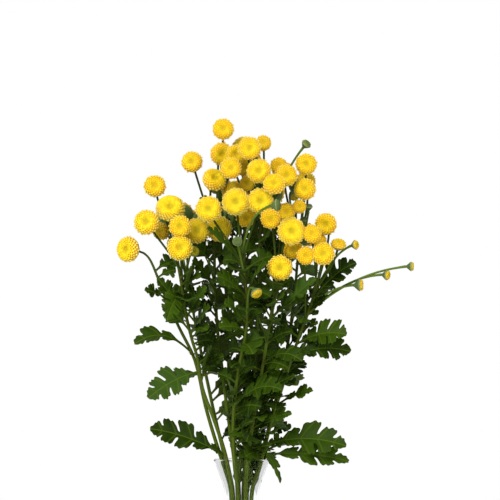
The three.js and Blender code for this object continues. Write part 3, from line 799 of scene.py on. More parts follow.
class Graph:
    """A node tree that is filled node by node."""

    def __init__(self, tree: bpy.types.NodeTree) -> None:
        """Empties the tree."""
        self.tree = tree
        tree.nodes.clear()

    @staticmethod
    def socket(sockets: Any, key: str | int) -> bpy.types.NodeSocket:
        """Finds a socket.

        Args:
            sockets: A node's inputs or outputs.
            key: The socket's number, identifier or name.

        Returns:
            The socket.
        """
        if isinstance(key, int):
            return sockets[key]
        by_identifier = [one for one in sockets if one.identifier == key]
        return by_identifier[0] if by_identifier else sockets[key]

    def node(
        self, kind: str, settings: Mapping[str, Any] | None = None, sockets: Mapping[Any, Any] | None = None
    ) -> Outputs:
        """Makes a node.

        Args:
            kind: The node's type.
            settings: Its properties, which are set first.
            sockets: Values or links by the input's name, identifier or number.

        Returns:
            The node, for its outputs.
        """
        made = self.tree.nodes.new(kind)
        for name, value in (settings or {}).items():
            setattr(made, name, value)
        for key, value in (sockets or {}).items():
            target = self.socket(made.inputs, key)
            if isinstance(value, Link):
                self.tree.links.new(value.socket, target)
            elif target.type == "RGBA":
                target.default_value = (*value[:3], 1.0)
            else:
                target.default_value = value
        return Outputs(self, made)

    def mix(self, share: Link | float, first: Any, second: Any) -> Link:
        """Two colours mixed by a share of the second."""
        sockets = {"Factor_Float": share, "A_Color": first, "B_Color": second}
        return self.node("ShaderNodeMix", {"data_type": "RGBA"}, sockets)["Result_Color"]

    def shaded(self, colour: Any, amount: Link) -> Link:
        """A colour made darker or lighter.

        Args:
            colour: The colour.
            amount: A factor around one.

        Returns:
            The product.
        """
        grey = self.node("ShaderNodeCombineColor", {}, {0: amount, 1: amount, 2: amount})[0]
        settings = {"data_type": "RGBA", "blend_type": "MULTIPLY"}
        sockets = {"Factor_Float": 1.0, "A_Color": colour, "B_Color": grey}
        return self.node("ShaderNodeMix", settings, sockets)["Result_Color"]

    def vector(self, operation: str, first: Any, second: Any) -> Link:
        """The result of a Vector Math node."""
        return self.node("ShaderNodeVectorMath", {"operation": operation}, {0: first, 1: second})[0]

    def triple(self, x: Any, y: Any, z: Any) -> Link:
        """A vector made of three numbers."""
        return self.node("ShaderNodeCombineXYZ", {}, {0: x, 1: y, 2: z})[0]

    def upright(self, direction: Link) -> Link:
        """The rotation that points a form's own Z in a direction."""
        return self.node("FunctionNodeAlignRotationToVector", {"axis": "Z"}, {"Vector": direction})[0]

    def copied(self, form: bpy.types.Object) -> Link:
        """The geometry of an object."""
        return self.node("GeometryNodeObjectInfo", {}, {"Object": form})["Geometry"]

    def kept(self, name: str, kind: str = "FLOAT") -> Link:
        """What the points keep under a name, for a Geometry Nodes tree."""
        return self.node("GeometryNodeInputNamedAttribute", {"data_type": kind}, {"Name": name})[0]

    def keeping(self, geometry: Link, **values: Link) -> Link:
        """Keeps numbers at the points of a geometry.

        Args:
            geometry: The geometry.
            values: Each number by the name that it is kept under.

        Returns:
            The geometry with its numbers.
        """
        settings = {"data_type": "FLOAT", "domain": "POINT"}
        for name, value in values.items():
            sockets = {"Geometry": geometry, "Name": name, "Value": value}
            geometry = self.node("GeometryNodeStoreNamedAttribute", settings, sockets)[0]
        return geometry

    def joined(self, parts: Sequence[Link]) -> Link:
        """Several geometries as one.

        Args:
            parts: The geometries.

        Returns:
            The joined geometry.
        """
        join = self.node("GeometryNodeJoinGeometry")
        for part in parts:
            self.tree.links.new(part.socket, join.node.inputs[0])
        return join[0]

    def attribute(self, name: str) -> Link:
        """A number that the mesh keeps at its points, for a shader."""
        return self.node("ShaderNodeAttribute", {"attribute_name": name})["Fac"]

    def noise(self, scale: float, detail: float = 3.0, stretch: Triple | None = None) -> Link:
        """Noise on the piece's own coordinates.

        Args:
            scale: Features to the metre.
            detail: Finer layers.
            stretch: Factors on the three coordinates.

        Returns:
            The noise, from 0 to 1.
        """
        place = self.node("ShaderNodeTexCoord")["Object"]
        if stretch:
            place = self.vector("MULTIPLY", place, stretch)
        return self.node("ShaderNodeTexNoise", {}, {"Vector": place, "Scale": scale, "Detail": detail})[0]

    def bump(self, height: Link, strength: float, distance: float) -> Link:
        """A normal that follows a height."""
        sockets = {"Height": height, "Strength": strength, "Distance": distance}
        return self.node("ShaderNodeBump", {}, sockets)[0]

    def entry(self, name: str, kind: str, default: Any = None) -> None:
        """Adds an input to the tree's own interface.

        Args:
            name: The input's name.
            kind: The end of its socket's type.
            default: Its value where a modifier gives none.
        """
        made = self.tree.interface.new_socket(name=name, in_out="INPUT", socket_type="NodeSocket" + kind)
        if default is not None:
            made.default_value = default


def node_tree(name: str, entries: Mapping[str, tuple[str, Any]]) -> tuple[Graph, Outputs]:
    """Starts a Geometry Nodes tree.

    Args:
        name: The tree's name.
        entries: The kind and default of each input after the geometry.

    Returns:
        The tree and its input node.
    """
    tree = bpy.data.node_groups.new(name, "GeometryNodeTree")
    graph = Graph(tree)
    graph.entry("Geometry", "Geometry")
    for title, (kind, default) in entries.items():
        graph.entry(title, kind, default)
    tree.interface.new_socket(name="Geometry", in_out="OUTPUT", socket_type="NodeSocketGeometry")
    return graph, graph.node("NodeGroupInput")


def add_tree(piece: bpy.types.Object, tree: bpy.types.NodeTree, values: Mapping[str, Any]) -> None:
    """Adds a Geometry Nodes modifier to a piece.

    Args:
        piece: The piece.
        tree: The tree that the modifier runs.
        values: Values by the names of the tree's inputs.
    """
    modifier = piece.modifiers.new(tree.name, "NODES")
    modifier.node_group = tree
    places = {one.name: one.identifier for one in tree.interface.items_tree if one.in_out == "INPUT"}
    for name, value in values.items():
        modifier[places[name]] = value


def finished(
    graph: Graph, parts: Sequence[tuple[Link, bpy.types.Material]], before: Sequence[Link] = ()
) -> None:
    """Ends a Geometry Nodes tree: each part is made real, gets its material and goes to the output.

    Args:
        graph: The tree.
        parts: Each part's geometry and material.
        before: Geometry that passes through as it came.
    """
    dressed = []
    for geometry, material in parts:
        real = graph.node("GeometryNodeRealizeInstances", {}, {"Geometry": geometry})[0]
        smooth = graph.node("GeometryNodeSetShadeSmooth", {}, {"Geometry": real, "Shade Smooth": True})[0]
        finish = {"Geometry": smooth, "Material": material}
        dressed.append(graph.node("GeometryNodeSetMaterial", {}, finish)[0])
    graph.node("NodeGroupOutput", {}, {"Geometry": graph.joined([*dressed, *before])})


def mesh_object(
    name: str, points: Array, faces: Sequence[Sequence[int]], attributes: Mapping[str, Array] | None = None,
    edges: Sequence[tuple[int, int]] = (), material: bpy.types.Material | None = None,
) -> bpy.types.Object:
    """Makes a mesh object at the origin.

    Args:
        name: The object's name.
        points: Places in millimetres.
        faces: Corner numbers of each face.
        attributes: Numbers or vectors kept at the points.
        edges: Edges that belong to no face.
        material: The mesh's material.

    Returns:
        The object, smooth shaded.
    """
    mesh = bpy.data.meshes.new(name)
    mesh.from_pydata((np.asarray(points) * MM).tolist(), list(edges), [list(face) for face in faces])
    for title, values in (attributes or {}).items():
        values = np.asarray(values, float)
        kind, key = ("FLOAT_VECTOR", "vector") if values.ndim == 2 else ("FLOAT", "value")
        mesh.attributes.new(title, kind, "POINT").data.foreach_set(key, values.ravel())
    mesh.shade_smooth()
    if material:
        mesh.materials.append(material)
    made = bpy.data.objects.new(name, mesh)
    bpy.context.scene.collection.objects.link(made)
    return made


def bake(pieces: Sequence[bpy.types.Object]) -> None:
    """Turns the modifiers of pieces into plain meshes and removes them.

    Args:
        pieces: The pieces.
    """
    bpy.context.view_layer.update()
    depsgraph = bpy.context.evaluated_depsgraph_get()
    for piece in pieces:
        mesh = bpy.data.meshes.new_from_object(
            piece.evaluated_get(depsgraph), preserve_all_data_layers=True, depsgraph=depsgraph)
        mesh.name = piece.name
        piece.modifiers.clear()
        piece.data = mesh


def discard(forms: Sequence[bpy.types.Object]) -> None:
    """Removes the forms that trees only took copies of."""
    for form in forms:
        bpy.data.objects.remove(form)


def settle(piece: bpy.types.Object, slot: "Slot", *nodes: str) -> None:
    """Puts a finished piece on the body, hides the solids that it stands for and logs it.

    Args:
        piece: The piece.
        slot: The record's slot that its finish belongs to. Not used.
        nodes: The solids that it stands for.
    """
    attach(piece, BODY)
    if nodes:
        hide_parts(*nodes)
    log.info("%s: %d faces", piece.name, len(piece.data.polygons))


class Slot(Enum):
    """The record's material slots."""

    YELLOW = "yellow_florets"
    GREEN = "green_stems_and_leaves"
    GLASS = "clear_glass"
    WATER = "water"


@dataclass(frozen=True)
class Finish:
    """What every finish has: its name, and constants of the shader."""

    name: str = "finish"
    roughness: float = 0.5
    specular: float = 0.3

    def start(self, **constants: Any) -> tuple[Graph, Outputs, bpy.types.Material]:
        """Makes the material with its shader.

        Args:
            constants: More of the shader's inputs, with _ for spaces.

        Returns:
            The tree, the shader and the material.
        """
        material = bpy.data.materials.new(self.name)
        material.use_nodes = True
        graph = Graph(material.node_tree)
        sockets = {"Roughness": self.roughness, "Specular IOR Level": self.specular}
        sockets.update({key.replace("_", " "): value for key, value in constants.items()})
        shader = graph.node("ShaderNodeBsdfPrincipled", {}, sockets)
        graph.node("ShaderNodeOutputMaterial", {}, {"Surface": shader["BSDF"]})
        return graph, shader, material

    @staticmethod
    def dress(shader: Outputs, **links: Link) -> None:
        """Links what varies over the surface to the shader's inputs."""
        for key, link in links.items():
            shader.graph.tree.links.new(link.socket, shader.node.inputs[key.replace("_", " ")])


@dataclass(frozen=True)
class FloretFinish(Finish):
    """Bright yellow florets: painted shade between them and on listed heads, a painted highlight at the rim,
    greenish where young.
    """

    name: str = "yellow_florets"
    roughness: float = 0.62
    specular: float = 0.25
    # Painted shade: the darker colour at the feet of the florets and on the dome that shows between them
    painted_gap_shade: Colour = srgb(236, 176, 6)
    golden: Colour = srgb(253, 206, 8)
    bright: Colour = srgb(255, 232, 34)
    # Painted highlight: the near-white colour on the tips of the outer florets
    pale: Colour = srgb(255, 246, 170)
    young: Colour = srgb(158, 162, 28)
    closed: Colour = srgb(96, 116, 60)

    def material(self) -> bpy.types.Material:
        """Makes the material, which reads along, tone, reach, youth and shade from the mesh.

        Returns:
            The material.
        """
        graph, shader, material = self.start()
        along, reach = graph.attribute("along"), graph.attribute("reach")
        mottle = graph.noise(420)
        tone = graph.attribute("tone") * 0.6 + mottle * 0.5
        colour = graph.mix(tone, self.golden, self.bright)
        # Painted highlight: the tips of the outermost florets turn near-white
        colour = graph.mix(reach.ranged(0.72, 1.0, 0.0, 0.5) * along, colour, self.pale)
        # Painted shade between the florets: their feet, and the dome between them, take the darker colour
        colour = graph.mix(along.ranged(0.1, 0.8), self.painted_gap_shade, colour)
        youth = graph.attribute("youth")
        colour = graph.mix(youth, colour, self.young)
        colour = graph.mix(youth.ranged(1.05, 1.4), colour, self.closed)
        # Painted shade: heads given a shade value get a darker colour, for the shadow they sit in
        colour = graph.shaded(colour, graph.attribute("shade") * -0.55 + 1.0)
        normal = graph.bump(graph.noise(2600), 0.35, 0.0002)
        self.dress(shader, Base_Color=colour, Normal=normal)
        return material


@dataclass(frozen=True)
class StemFinish(Finish):
    """Ribbed green stems: olive and lighter below, dark above, brown at their knots."""

    name: str = "green_stem"
    roughness: float = 0.55
    specular: float = 0.09
    low: Colour = srgb(72, 90, 16)
    high: Colour = srgb(30, 50, 8)
    ridge: Colour = srgb(108, 128, 34)
    young: Colour = srgb(98, 122, 42)
    brown: Colour = srgb(92, 70, 30)

    def material(self) -> bpy.types.Material:
        """Makes the material, which reads ridge, knot and fresh from the mesh.

        Returns:
            The material.
        """
        graph, shader, material = self.start()
        place = graph.node("ShaderNodeTexCoord")["Object"]
        height = graph.node("ShaderNodeSeparateXYZ", {}, {0: place})["Z"]
        streaks = graph.noise(900, 2.0, (1, 1, 0.12))
        colour = graph.mix(height.ranged(0.2, 0.37), self.low, self.high)
        colour = graph.mix(graph.attribute("ridge") * 0.35 + streaks * 0.3 - 0.12, colour, self.ridge)
        knot = graph.attribute("knot") * graph.noise(500).ranged(0.3, 0.6)
        colour = graph.mix(knot * 0.45, colour, self.brown)
        colour = graph.mix(graph.attribute("fresh") * 0.8, colour, self.young)
        normal = graph.bump(streaks, 0.4, 0.0003)
        self.dress(shader, Base_Color=colour, Roughness=streaks * 0.25 + 0.42, Normal=normal)
        return material


@dataclass(frozen=True)
class CupFinish(Finish):
    """Grey-green cups of overlapping bracts with pale papery edges."""

    name: str = "green_cup"
    roughness: float = 0.7
    specular: float = 0.2
    base: Colour = srgb(84, 108, 52)
    edge: Colour = srgb(160, 166, 112)

    def material(self) -> bpy.types.Material:
        """Makes the material, which reads edge from the mesh.

        Returns:
            The material.
        """
        graph, shader, material = self.start()
        down = graph.noise(1500)
        colour = graph.mix(graph.attribute("edge") ** 1.6 * 0.8, self.base, self.edge)
        colour = graph.shaded(colour, down * 0.6 + 0.7)
        self.dress(shader, Base_Color=colour, Normal=graph.bump(down, 0.4, 0.0003))
        return material


@dataclass(frozen=True)
class LeafFinish(Finish):
    """Dark green blades with sunk lighter veins above, a painted bluish sheen on some, and dull olive
    undersides.
    """

    name: str = "green_leaf"
    roughness: float = 0.5
    specular: float = 0.07
    dark: Colour = srgb(22, 40, 2)
    light: Colour = srgb(64, 92, 8)
    # Painted sheen: a bluish grey that stands in for the surround reflected on some leaves
    blue: Colour = srgb(48, 74, 30)
    vein: Colour = srgb(86, 108, 26)
    under: Colour = srgb(64, 82, 26)

    def material(self) -> bpy.types.Material:
        """Makes the material, which reads across, vein_phase, under and tone from the mesh.

        Returns:
            The material.
        """
        graph, shader, material = self.start()
        across, phase = graph.attribute("across"), graph.attribute("vein_phase")
        tone = graph.attribute("tone")
        from_vein = phase - phase.maths("ROUND", phase)
        side_vein = from_vein.maths("ABSOLUTE", from_vein).ranged(0.02, 0.09, 1.0, 0.0) * 0.6
        midrib = across.ranged(0.25, 0.6, 1.0, 0.0)
        veins = midrib.most(side_vein)
        mottle, fine = graph.noise(170), graph.noise(1400)
        share = tone * 0.75 + mottle * 0.55 - 0.22
        upper = graph.mix(share, self.dark, self.light)
        # Painted sheen: the leaves with the highest tone take on part of the bluish colour
        upper = graph.mix(tone.ranged(0.8, 1.0, 0.0, 0.5), upper, self.blue)
        upper = graph.mix(veins * 0.55, upper, self.vein)
        lower = graph.shaded(self.under, mottle * 0.5 + 0.72)
        lower = graph.mix(veins * 0.6, lower, self.vein)
        colour = graph.mix(graph.attribute("under"), upper, lower)
        colour = graph.shaded(colour, fine * 0.3 + 0.85)
        height = veins * -0.6 + fine * 0.35 + mottle * 0.3
        roughness = mottle * 0.25 + veins * 0.1 + 0.38
        self.dress(shader, Base_Color=colour, Roughness=roughness, Normal=graph.bump(height, 0.6, 0.0005))
        return material


@dataclass(frozen=True)
class GlassFinish(Finish):
    """Clear glass with the faintest cyan in it."""

    name: str = "clear_glass"
    roughness: float = 0.02
    specular: float = 0.5
    tint: Colour = (0.994, 1.0, 0.999)
    ior: float = 1.12

    def material(self) -> bpy.types.Material:
        """Makes the material, with the slow waves of blown glass.

        Returns:
            The material.
        """
        graph, shader, material = self.start(Base_Color=self.tint, Transmission_Weight=1.0, IOR=self.ior)
        self.dress(shader, Normal=graph.bump(graph.noise(28, 1.0), 0.08, 0.0006))
        return material


@dataclass(frozen=True)
class WaterFinish(GlassFinish):
    """Still clear water."""

    name: str = "water"
    roughness: float = 0.0
    tint: Colour = (0.95, 0.99, 0.99)
    ior: float = 1.33


@dataclass(frozen=True)
class FloorFinish(Finish):
    """A plain pale studio floor."""

    name: str = "studio_floor"
    roughness: float = 0.8
    pale: Colour = (0.82, 0.82, 0.82)

    def material(self) -> bpy.types.Material:
        """Makes the material, with a trace of unevenness.

        Returns:
            The material.
        """
        graph, shader, material = self.start()
        self.dress(shader, Base_Color=graph.shaded(self.pale, graph.noise(2.0) * 0.04 + 0.98))
        return material


def finish_grown(
    pieces: Mapping[str, bpy.types.Object], forms: Sequence[bpy.types.Object], slot: Slot
) -> None:
    """Bakes what trees have grown, removes the forms that they copied and settles each piece.

    Args:
        pieces: The pieces by the solids that they stand for.
        forms: The forms.
        slot: The slot of all the pieces.
    """
    bake(list(pieces.values()))
    discard(forms)
    for node, piece in pieces.items():
        settle(piece, slot, node)


def lathed(profile: Sequence[tuple[float, float]], sides: int) -> tuple[Array, Faces]:
    """A closed turned form.

    Args:
        profile: Radii and heights from the axis below, round the outside, and back to the axis.
        sides: Points around.

    Returns:
        The points and faces.
    """
    angles = np.arange(sides) * 2 * math.pi / sides
    rings = [[(r * math.cos(a), r * math.sin(a), z) for a in angles] for r, z in profile[1:-1]]
    low, high = profile[0], profile[-1]
    points = np.array([(0, 0, low[1]), *(p for ring in rings for p in ring), (0, 0, high[1])])
    faces: Faces = []
    for k in range(sides):
        after = (k + 1) % sides
        faces.append((0, 1 + after, 1 + k))
        for ring in range(len(rings) - 1):
            a, b = 1 + ring * sides, 1 + (ring + 1) * sides
            faces.append((a + k, a + after, b + after, b + k))
        last = 1 + (len(rings) - 1) * sides
        faces.append((last + k, last + after, len(points) - 1))
    return points, faces


@dataclass
class HeadFlorets:
    """The open heads: tubular florets set in a spiral on a low dome with a dimple."""

    layout: Layout
    material: bpy.types.Material
    florets_at: float = 165.0
    size_at: float = 9.5
    fewest: int = 60
    rim_reach: float = 0.91
    inset: float = 0.13
    length_share: float = 0.15
    width_share: float = 0.098
    fullness: float = 1.03
    sides: int = 5
    dome_middle: float = 0.4
    dome_fall: float = 1.55
    dome_sunk: float = 0.08
    dome_sides: int = 20
    middle_youth: float = 0.55
    middle_size: float = 0.62
    size_play: float = 0.25

    def form(self) -> bpy.types.Object:
        """Makes one floret, one unit long and about one wide at its lip, with a raised style.

        Returns:
            The form.
        """
        rings = ((0.5, 0.0, 0.0), (0.82, 0.45, 0.45), (1.0, 0.82, 0.9), (0.42, 0.78, 0.7))
        sides = range(self.sides)
        turns = [2 * math.pi * k / self.sides for k in sides]
        points = [(r * math.cos(a), r * math.sin(a), height) for r, height, _ in rings for a in turns]
        points.append((0, 0, 1.0))
        along = [share for _, _, share in rings for _ in sides] + [1.0]
        top = (len(rings) - 1) * self.sides
        faces = [
            (a + k, a + (k + 1) % self.sides, a + self.sides + (k + 1) % self.sides, a + self.sides + k)
            for a in range(0, top, self.sides) for k in sides
        ]
        faces += [(top + k, top + (k + 1) % self.sides, len(points) - 1) for k in sides]
        faces.append(tuple(reversed(sides)))
        return mesh_object("floret_form", np.array(points) / MM, faces, {"along": np.array(along)})

    def dome(self) -> bpy.types.Object:
        """Makes the closed dome that the florets stand on, at a radius of one unit.

        Returns:
            The form.
        """
        reaches = (0.25, 0.5, 0.7, 0.85, 0.93)
        profile = [(0.0, -0.1), (0.5, -0.12), (0.84, -0.12), (0.95, -0.02)]
        profile += [
            (r, self.dome_middle + r**2 - self.dome_fall * r**4 - self.dome_sunk) for r in reversed(reaches)
        ]
        points, faces = lathed([*profile, (0.0, self.dome_middle - self.dome_sunk)], self.dome_sides)
        return mesh_object("dome_form", points / MM, faces, {"along": np.full(len(points), 0.3)})

    def tree(self, form: bpy.types.Object, dome: bpy.types.Object) -> bpy.types.NodeTree:
        """Makes the tree that adds one head to the geometry that comes in.

        Args:
            form: The floret.
            dome: What the florets stand on.

        Returns:
            The tree.
        """
        graph, entry = node_tree("florets", {
            "Seat": ("Vector", (0, 0, 0)), "Facing": ("Vector", (0, 0, 1)), "Radius": ("Float", 0.01),
            "Count": ("Int", 100), "Seed": ("Int", 0), "Youth": ("Float", 0.0), "Shade": ("Float", 0.0),
        })
        radius, youth, shade = entry["Radius"], entry["Youth"], entry["Shade"]
        index = graph.node("GeometryNodeInputIndex")[0]
        reach = (((index + 0.5) / entry["Count"]) ** 0.5) * self.rim_reach
        angle = index * GOLDEN_ANGLE + entry["Seed"]
        cosine, sine = angle.maths("COSINE", angle), angle.maths("SINE", angle)
        height = reach**2 - self.dome_fall * reach**4 + (self.dome_middle - self.inset)
        slope = 2 * reach - 4 * self.dome_fall * reach**3
        place = graph.triple(reach * cosine * radius, reach * sine * radius, height * radius)
        normal = graph.triple(slope * cosine * -1.0, slope * sine * -1.0, 1.0)
        points = graph.node("GeometryNodePoints", {}, {"Count": entry["Count"]})[0]
        points = graph.node("GeometryNodeSetPosition", {}, {"Geometry": points, "Position": place})[0]
        drawn = {"ID": index, "Seed": entry["Seed"]}
        tone = graph.node("FunctionNodeRandomValue", {"data_type": "FLOAT"}, drawn)["Value_001"]
        greener = youth + reach.ranged(0.1, 0.42, self.middle_youth, 0.0)
        points = graph.keeping(points, tone=tone, reach=reach / self.rim_reach, youth=greener, shade=shade)
        turn = {"Axis": (0, 0, 1), "Angle": tone * 6.28}
        spin = graph.node("FunctionNodeAxisAngleToRotation", {}, turn)[0]
        turned_form = {"Rotation": graph.upright(normal), "Rotate By": spin}
        spun = graph.node("FunctionNodeRotateRotation", {"rotation_space": "LOCAL"}, turned_form)[0]
        grown = reach.ranged(0.05, 0.5, self.middle_size, 1.0) * (tone * self.size_play + 0.88) * radius
        width = grown * self.width_share
        florets = graph.node("GeometryNodeInstanceOnPoints", {}, {
            "Points": points, "Instance": graph.copied(form), "Rotation": spun,
            "Scale": graph.triple(width, width, grown * self.length_share),
        })[0]
        sized = {"Geometry": graph.copied(dome), "Scale": graph.triple(radius, radius, radius)}
        base = graph.keeping(graph.node("GeometryNodeTransform", {}, sized)[0], youth=youth, shade=shade)
        head = graph.node("GeometryNodeTransform", {}, {
            "Geometry": graph.joined([florets, base]), "Translation": entry["Seat"],
            "Rotation": graph.upright(entry["Facing"]),
        })[0]
        finished(graph, [(head, self.material)], [entry["Geometry"]])
        return graph.tree

    def count(self, radius: float) -> int:
        """The number of florets in a head of this radius."""
        return int(max(self.fewest, self.florets_at * (radius / self.size_at)**2))

    def values(self, head: Flower) -> dict[str, Any]:
        """The tree's inputs for one head.

        Args:
            head: The head.

        Returns:
            The values by the inputs' names.
        """
        return {
            "Seat": tuple(head.seat * MM), "Facing": tuple(head.face),
            "Radius": head.radius * self.fullness * MM, "Count": self.count(head.radius),
            "Seed": head.number, "Youth": YOUNG_HEADS.get(head.number, 0.0),
            "Shade": PAINTED_SHADE_HEADS.get(head.number, 0.0),
        }

    def groups(self) -> dict[str, tuple[str, list[Flower]]]:
        """The pieces to make, with heads that touch in one.

        Returns:
            For each solid that a piece stands for, the piece's name and its heads.
        """
        touching = [number for group in TOUCHING_TABLE for number in group]
        alone = [(number,) for number in self.layout.heads if number not in touching]
        made: dict[str, tuple[str, list[Flower]]] = {}
        for numbers in (*TOUCHING_TABLE, *alone):
            title = "_".join(map(str, numbers))
            made["flower_head_" + title] = ("florets_" + title, [self.layout.heads[n] for n in numbers])
        return made

    def build(self) -> None:
        """Makes the pieces."""
        forms = [self.form(), self.dome()]
        tree = self.tree(*forms)
        pieces = {}
        for node, (title, flowers) in self.groups().items():
            pieces[node] = mesh_object(title, np.zeros((0, 3)), [])
            for flower in flowers:
                add_tree(pieces[node], tree, self.values(flower))
        finish_grown(pieces, forms, Slot.YELLOW)


@dataclass
class BudFlorets(HeadFlorets):
    """The closed florets that show in the mouths of the buds' cups."""

    florets_at: float = 130.0
    fewest: int = 34
    rim_reach: float = 0.86
    width_share: float = 0.14
    fill: float = 0.92
    raised: float = 0.1

    def values(self, head: Flower) -> dict[str, Any]:
        """The tree's inputs for one bud.

        Args:
            head: The bud.

        Returns:
            The values by the inputs' names.
        """
        radius = head.radius * self.fill
        seat = (head.centre + head.face * head.radius * self.raised) * MM
        return {
            "Seat": tuple(seat), "Facing": tuple(head.face), "Radius": radius * MM,
            "Count": self.count(radius), "Seed": head.number, "Youth": BUD_YOUTH[head.number], "Shade": 0.0,
        }

    def groups(self) -> dict[str, tuple[str, list[Flower]]]:
        """The pieces to make, one for each stem with buds.

        Returns:
            For each solid that a piece stands for, the piece's name and its buds.
        """
        made: dict[str, tuple[str, list[Flower]]] = {}
        for bud in self.layout.buds:
            _, buds = made.setdefault("flowering_stem_" + bud.stem, ("bud_florets_" + bud.stem, []))
            buds.append(bud)
        return made


@dataclass
class StemGreens:
    """The stems with their stalks, and the cups of heads and buds on them."""

    layout: Layout
    stem_material: bpy.types.Material
    cup_material: bpy.types.Material
    profile_points: int = 10
    ridge: float = 0.13
    knot_reach: float = 2.0
    knot_swelling: float = 0.25
    stalk_swelling: float = 0.35
    stalk_flare: float = 0.3
    finer: int = 4
    joint_passes: int = 16
    joint_reach: int = 5
    joint_easing: float = 0.5
    joint_blend: int = 5
    cup_sides: int = 22
    tooth_depth: float = 0.09
    tooth_reach: float = 0.97

    def cup(self) -> bpy.types.Object:
        """A head's cup with rows of bracts, at a radius of one unit, from its foot at zero.

        Returns:
            The form.
        """
        rows = ((0.1, 0.0, 0.0), (0.34, 0.06, 0.0), (0.6, 0.17, 0.3), (0.62, 0.13, 0.0), (0.78, 0.3, 0.6),
                (0.8, 0.26, 0.0), (0.93, 0.46, 1.0), (0.86, 0.47, 0.7))
        return self._bracted("cup_form", rows, 0.3)

    def bud_cup(self) -> bpy.types.Object:
        """A bud's cup with rows of bracts, at a radius of one unit, from its foot at minus one.

        Returns:
            The form.
        """
        rows = ((0.2, -1.0, 0.0), (0.28, -0.8, 0.0), (0.52, -0.48, 0.25), (0.53, -0.52, 0.0),
                (0.82, -0.14, 0.5), (0.83, -0.19, 0.0), (1.0, 0.14, 1.0), (0.9, 0.18, 0.7))
        return self._bracted("bud_form", rows, 0.0)

    def _bracted(self, name: str, rows: Sequence[Triple], inner: float) -> bpy.types.Object:
        """A turned cup whose free edges are toothed by the tips of bracts.

        Args:
            name: The form's name.
            rows: Radius, height and how far each ring is a bract's edge.
            inner: The height of the cup's inside.

        Returns:
            The form.
        """
        profile = [(0.0, rows[0][1]), *((r, z) for r, z, _ in rows), (0.0, inner)]
        points, faces = lathed(profile, self.cup_sides)
        edge = np.zeros(len(points))
        for row, (_, _, amount) in enumerate(rows):
            first = 1 + row * self.cup_sides
            toothed = slice(first + row % 2, first + self.cup_sides, 2)
            if amount > 0:
                edge[first:first + self.cup_sides] = amount
                points[toothed, 2] -= self.tooth_depth
                points[toothed, :2] *= self.tooth_reach
        return mesh_object(name, points / MM, faces, {"edge": edge})

    def tree(self, cup: bpy.types.Object, bud: bpy.types.Object) -> bpy.types.NodeTree:
        """Makes the tree that grows tubes on the edges of a mesh, and cups on its loose points.

        Args:
            cup: A head's cup.
            bud: A bud's cup.

        Returns:
            The tree.
        """
        graph, entry = node_tree("stems", {"Sides": ("Int", 8), "Ridge": ("Float", 0.1)})
        lines = graph.node("GeometryNodeMeshToCurve", {}, {"Mesh": entry["Geometry"]})[0]
        circle = {"Resolution": entry["Sides"], "Radius": 1.0}
        ring = graph.node("GeometryNodeCurvePrimitiveCircle", {"mode": "RADIUS"}, circle)[0]
        index = graph.node("GeometryNodeInputIndex")[0]
        odd = index.maths("MODULO", index, 2.0)
        shrunk = {0: graph.node("GeometryNodeInputPosition")[0], "Scale": 1.0 - entry["Ridge"] * odd}
        scaled = graph.node("ShaderNodeVectorMath", {"operation": "SCALE"}, shrunk)[0]
        ring = graph.node("GeometryNodeSetPosition", {}, {"Geometry": ring, "Position": scaled})[0]
        tubes = graph.node("GeometryNodeCurveToMesh", {}, {
            "Curve": lines, "Profile Curve": graph.keeping(ring, ridge=1.0 - odd),
            "Scale": graph.kept("thickness"), "Fill Caps": True,
        })[0]
        size, kind = graph.kept("size"), graph.kept("kind")
        upright = graph.upright(graph.kept("facing", "FLOAT_VECTOR"))
        parts = [(tubes, self.stem_material)]
        for number, form in enumerate((cup, bud), 1):
            settings = {"data_type": "FLOAT", "operation": "EQUAL"}
            asked = {"A": kind, "B": float(number), "Epsilon": 0.1}
            seats = graph.node("GeometryNodeInstanceOnPoints", {}, {
                "Points": entry["Geometry"], "Instance": graph.copied(form), "Rotation": upright,
                "Selection": graph.node("FunctionNodeCompare", settings, asked)[0],
                "Scale": graph.triple(size, size, size),
            })[0]
            parts.append((seats, self.cup_material))
        finished(graph, parts)
        return graph.tree

    def thickness(self, stem: Stem, points: Array) -> Array:
        """A stem's radius, thinner towards the top and swollen at its knots.

        Args:
            stem: The stem.
            points: Places on it.

        Returns:
            The radius at each point.
        """
        share = np.clip((points[:, 2] - NECK_TOP) / (stem.top - NECK_TOP), 0, 1)
        plain = STEM_RADIUS + (STEM_TIP_RADIUS - STEM_RADIUS) * share
        return plain * (1 + self.knot_swelling * self.knots(stem, points))

    def knots(self, stem: Stem, points: Array) -> Array:
        """How near points are to where something leaves the stem, from 0 to 1."""
        apart = np.abs(points[:, 2][:, None] - np.array(stem.forks)).min(1)
        return np.exp(-(apart / self.knot_reach)**2)

    def build(self) -> None:
        """Makes one piece for each leafy stem."""
        forms = [self.cup(), self.bud_cup()]
        tree = self.tree(*forms)
        pieces = {}
        for stem in self.layout.stems.values():
            piece = self.skeleton(stem)
            add_tree(piece, tree, {"Sides": self.profile_points, "Ridge": self.ridge})
            pieces["flowering_stem_" + stem.name] = piece
        finish_grown(pieces, forms, Slot.GREEN)

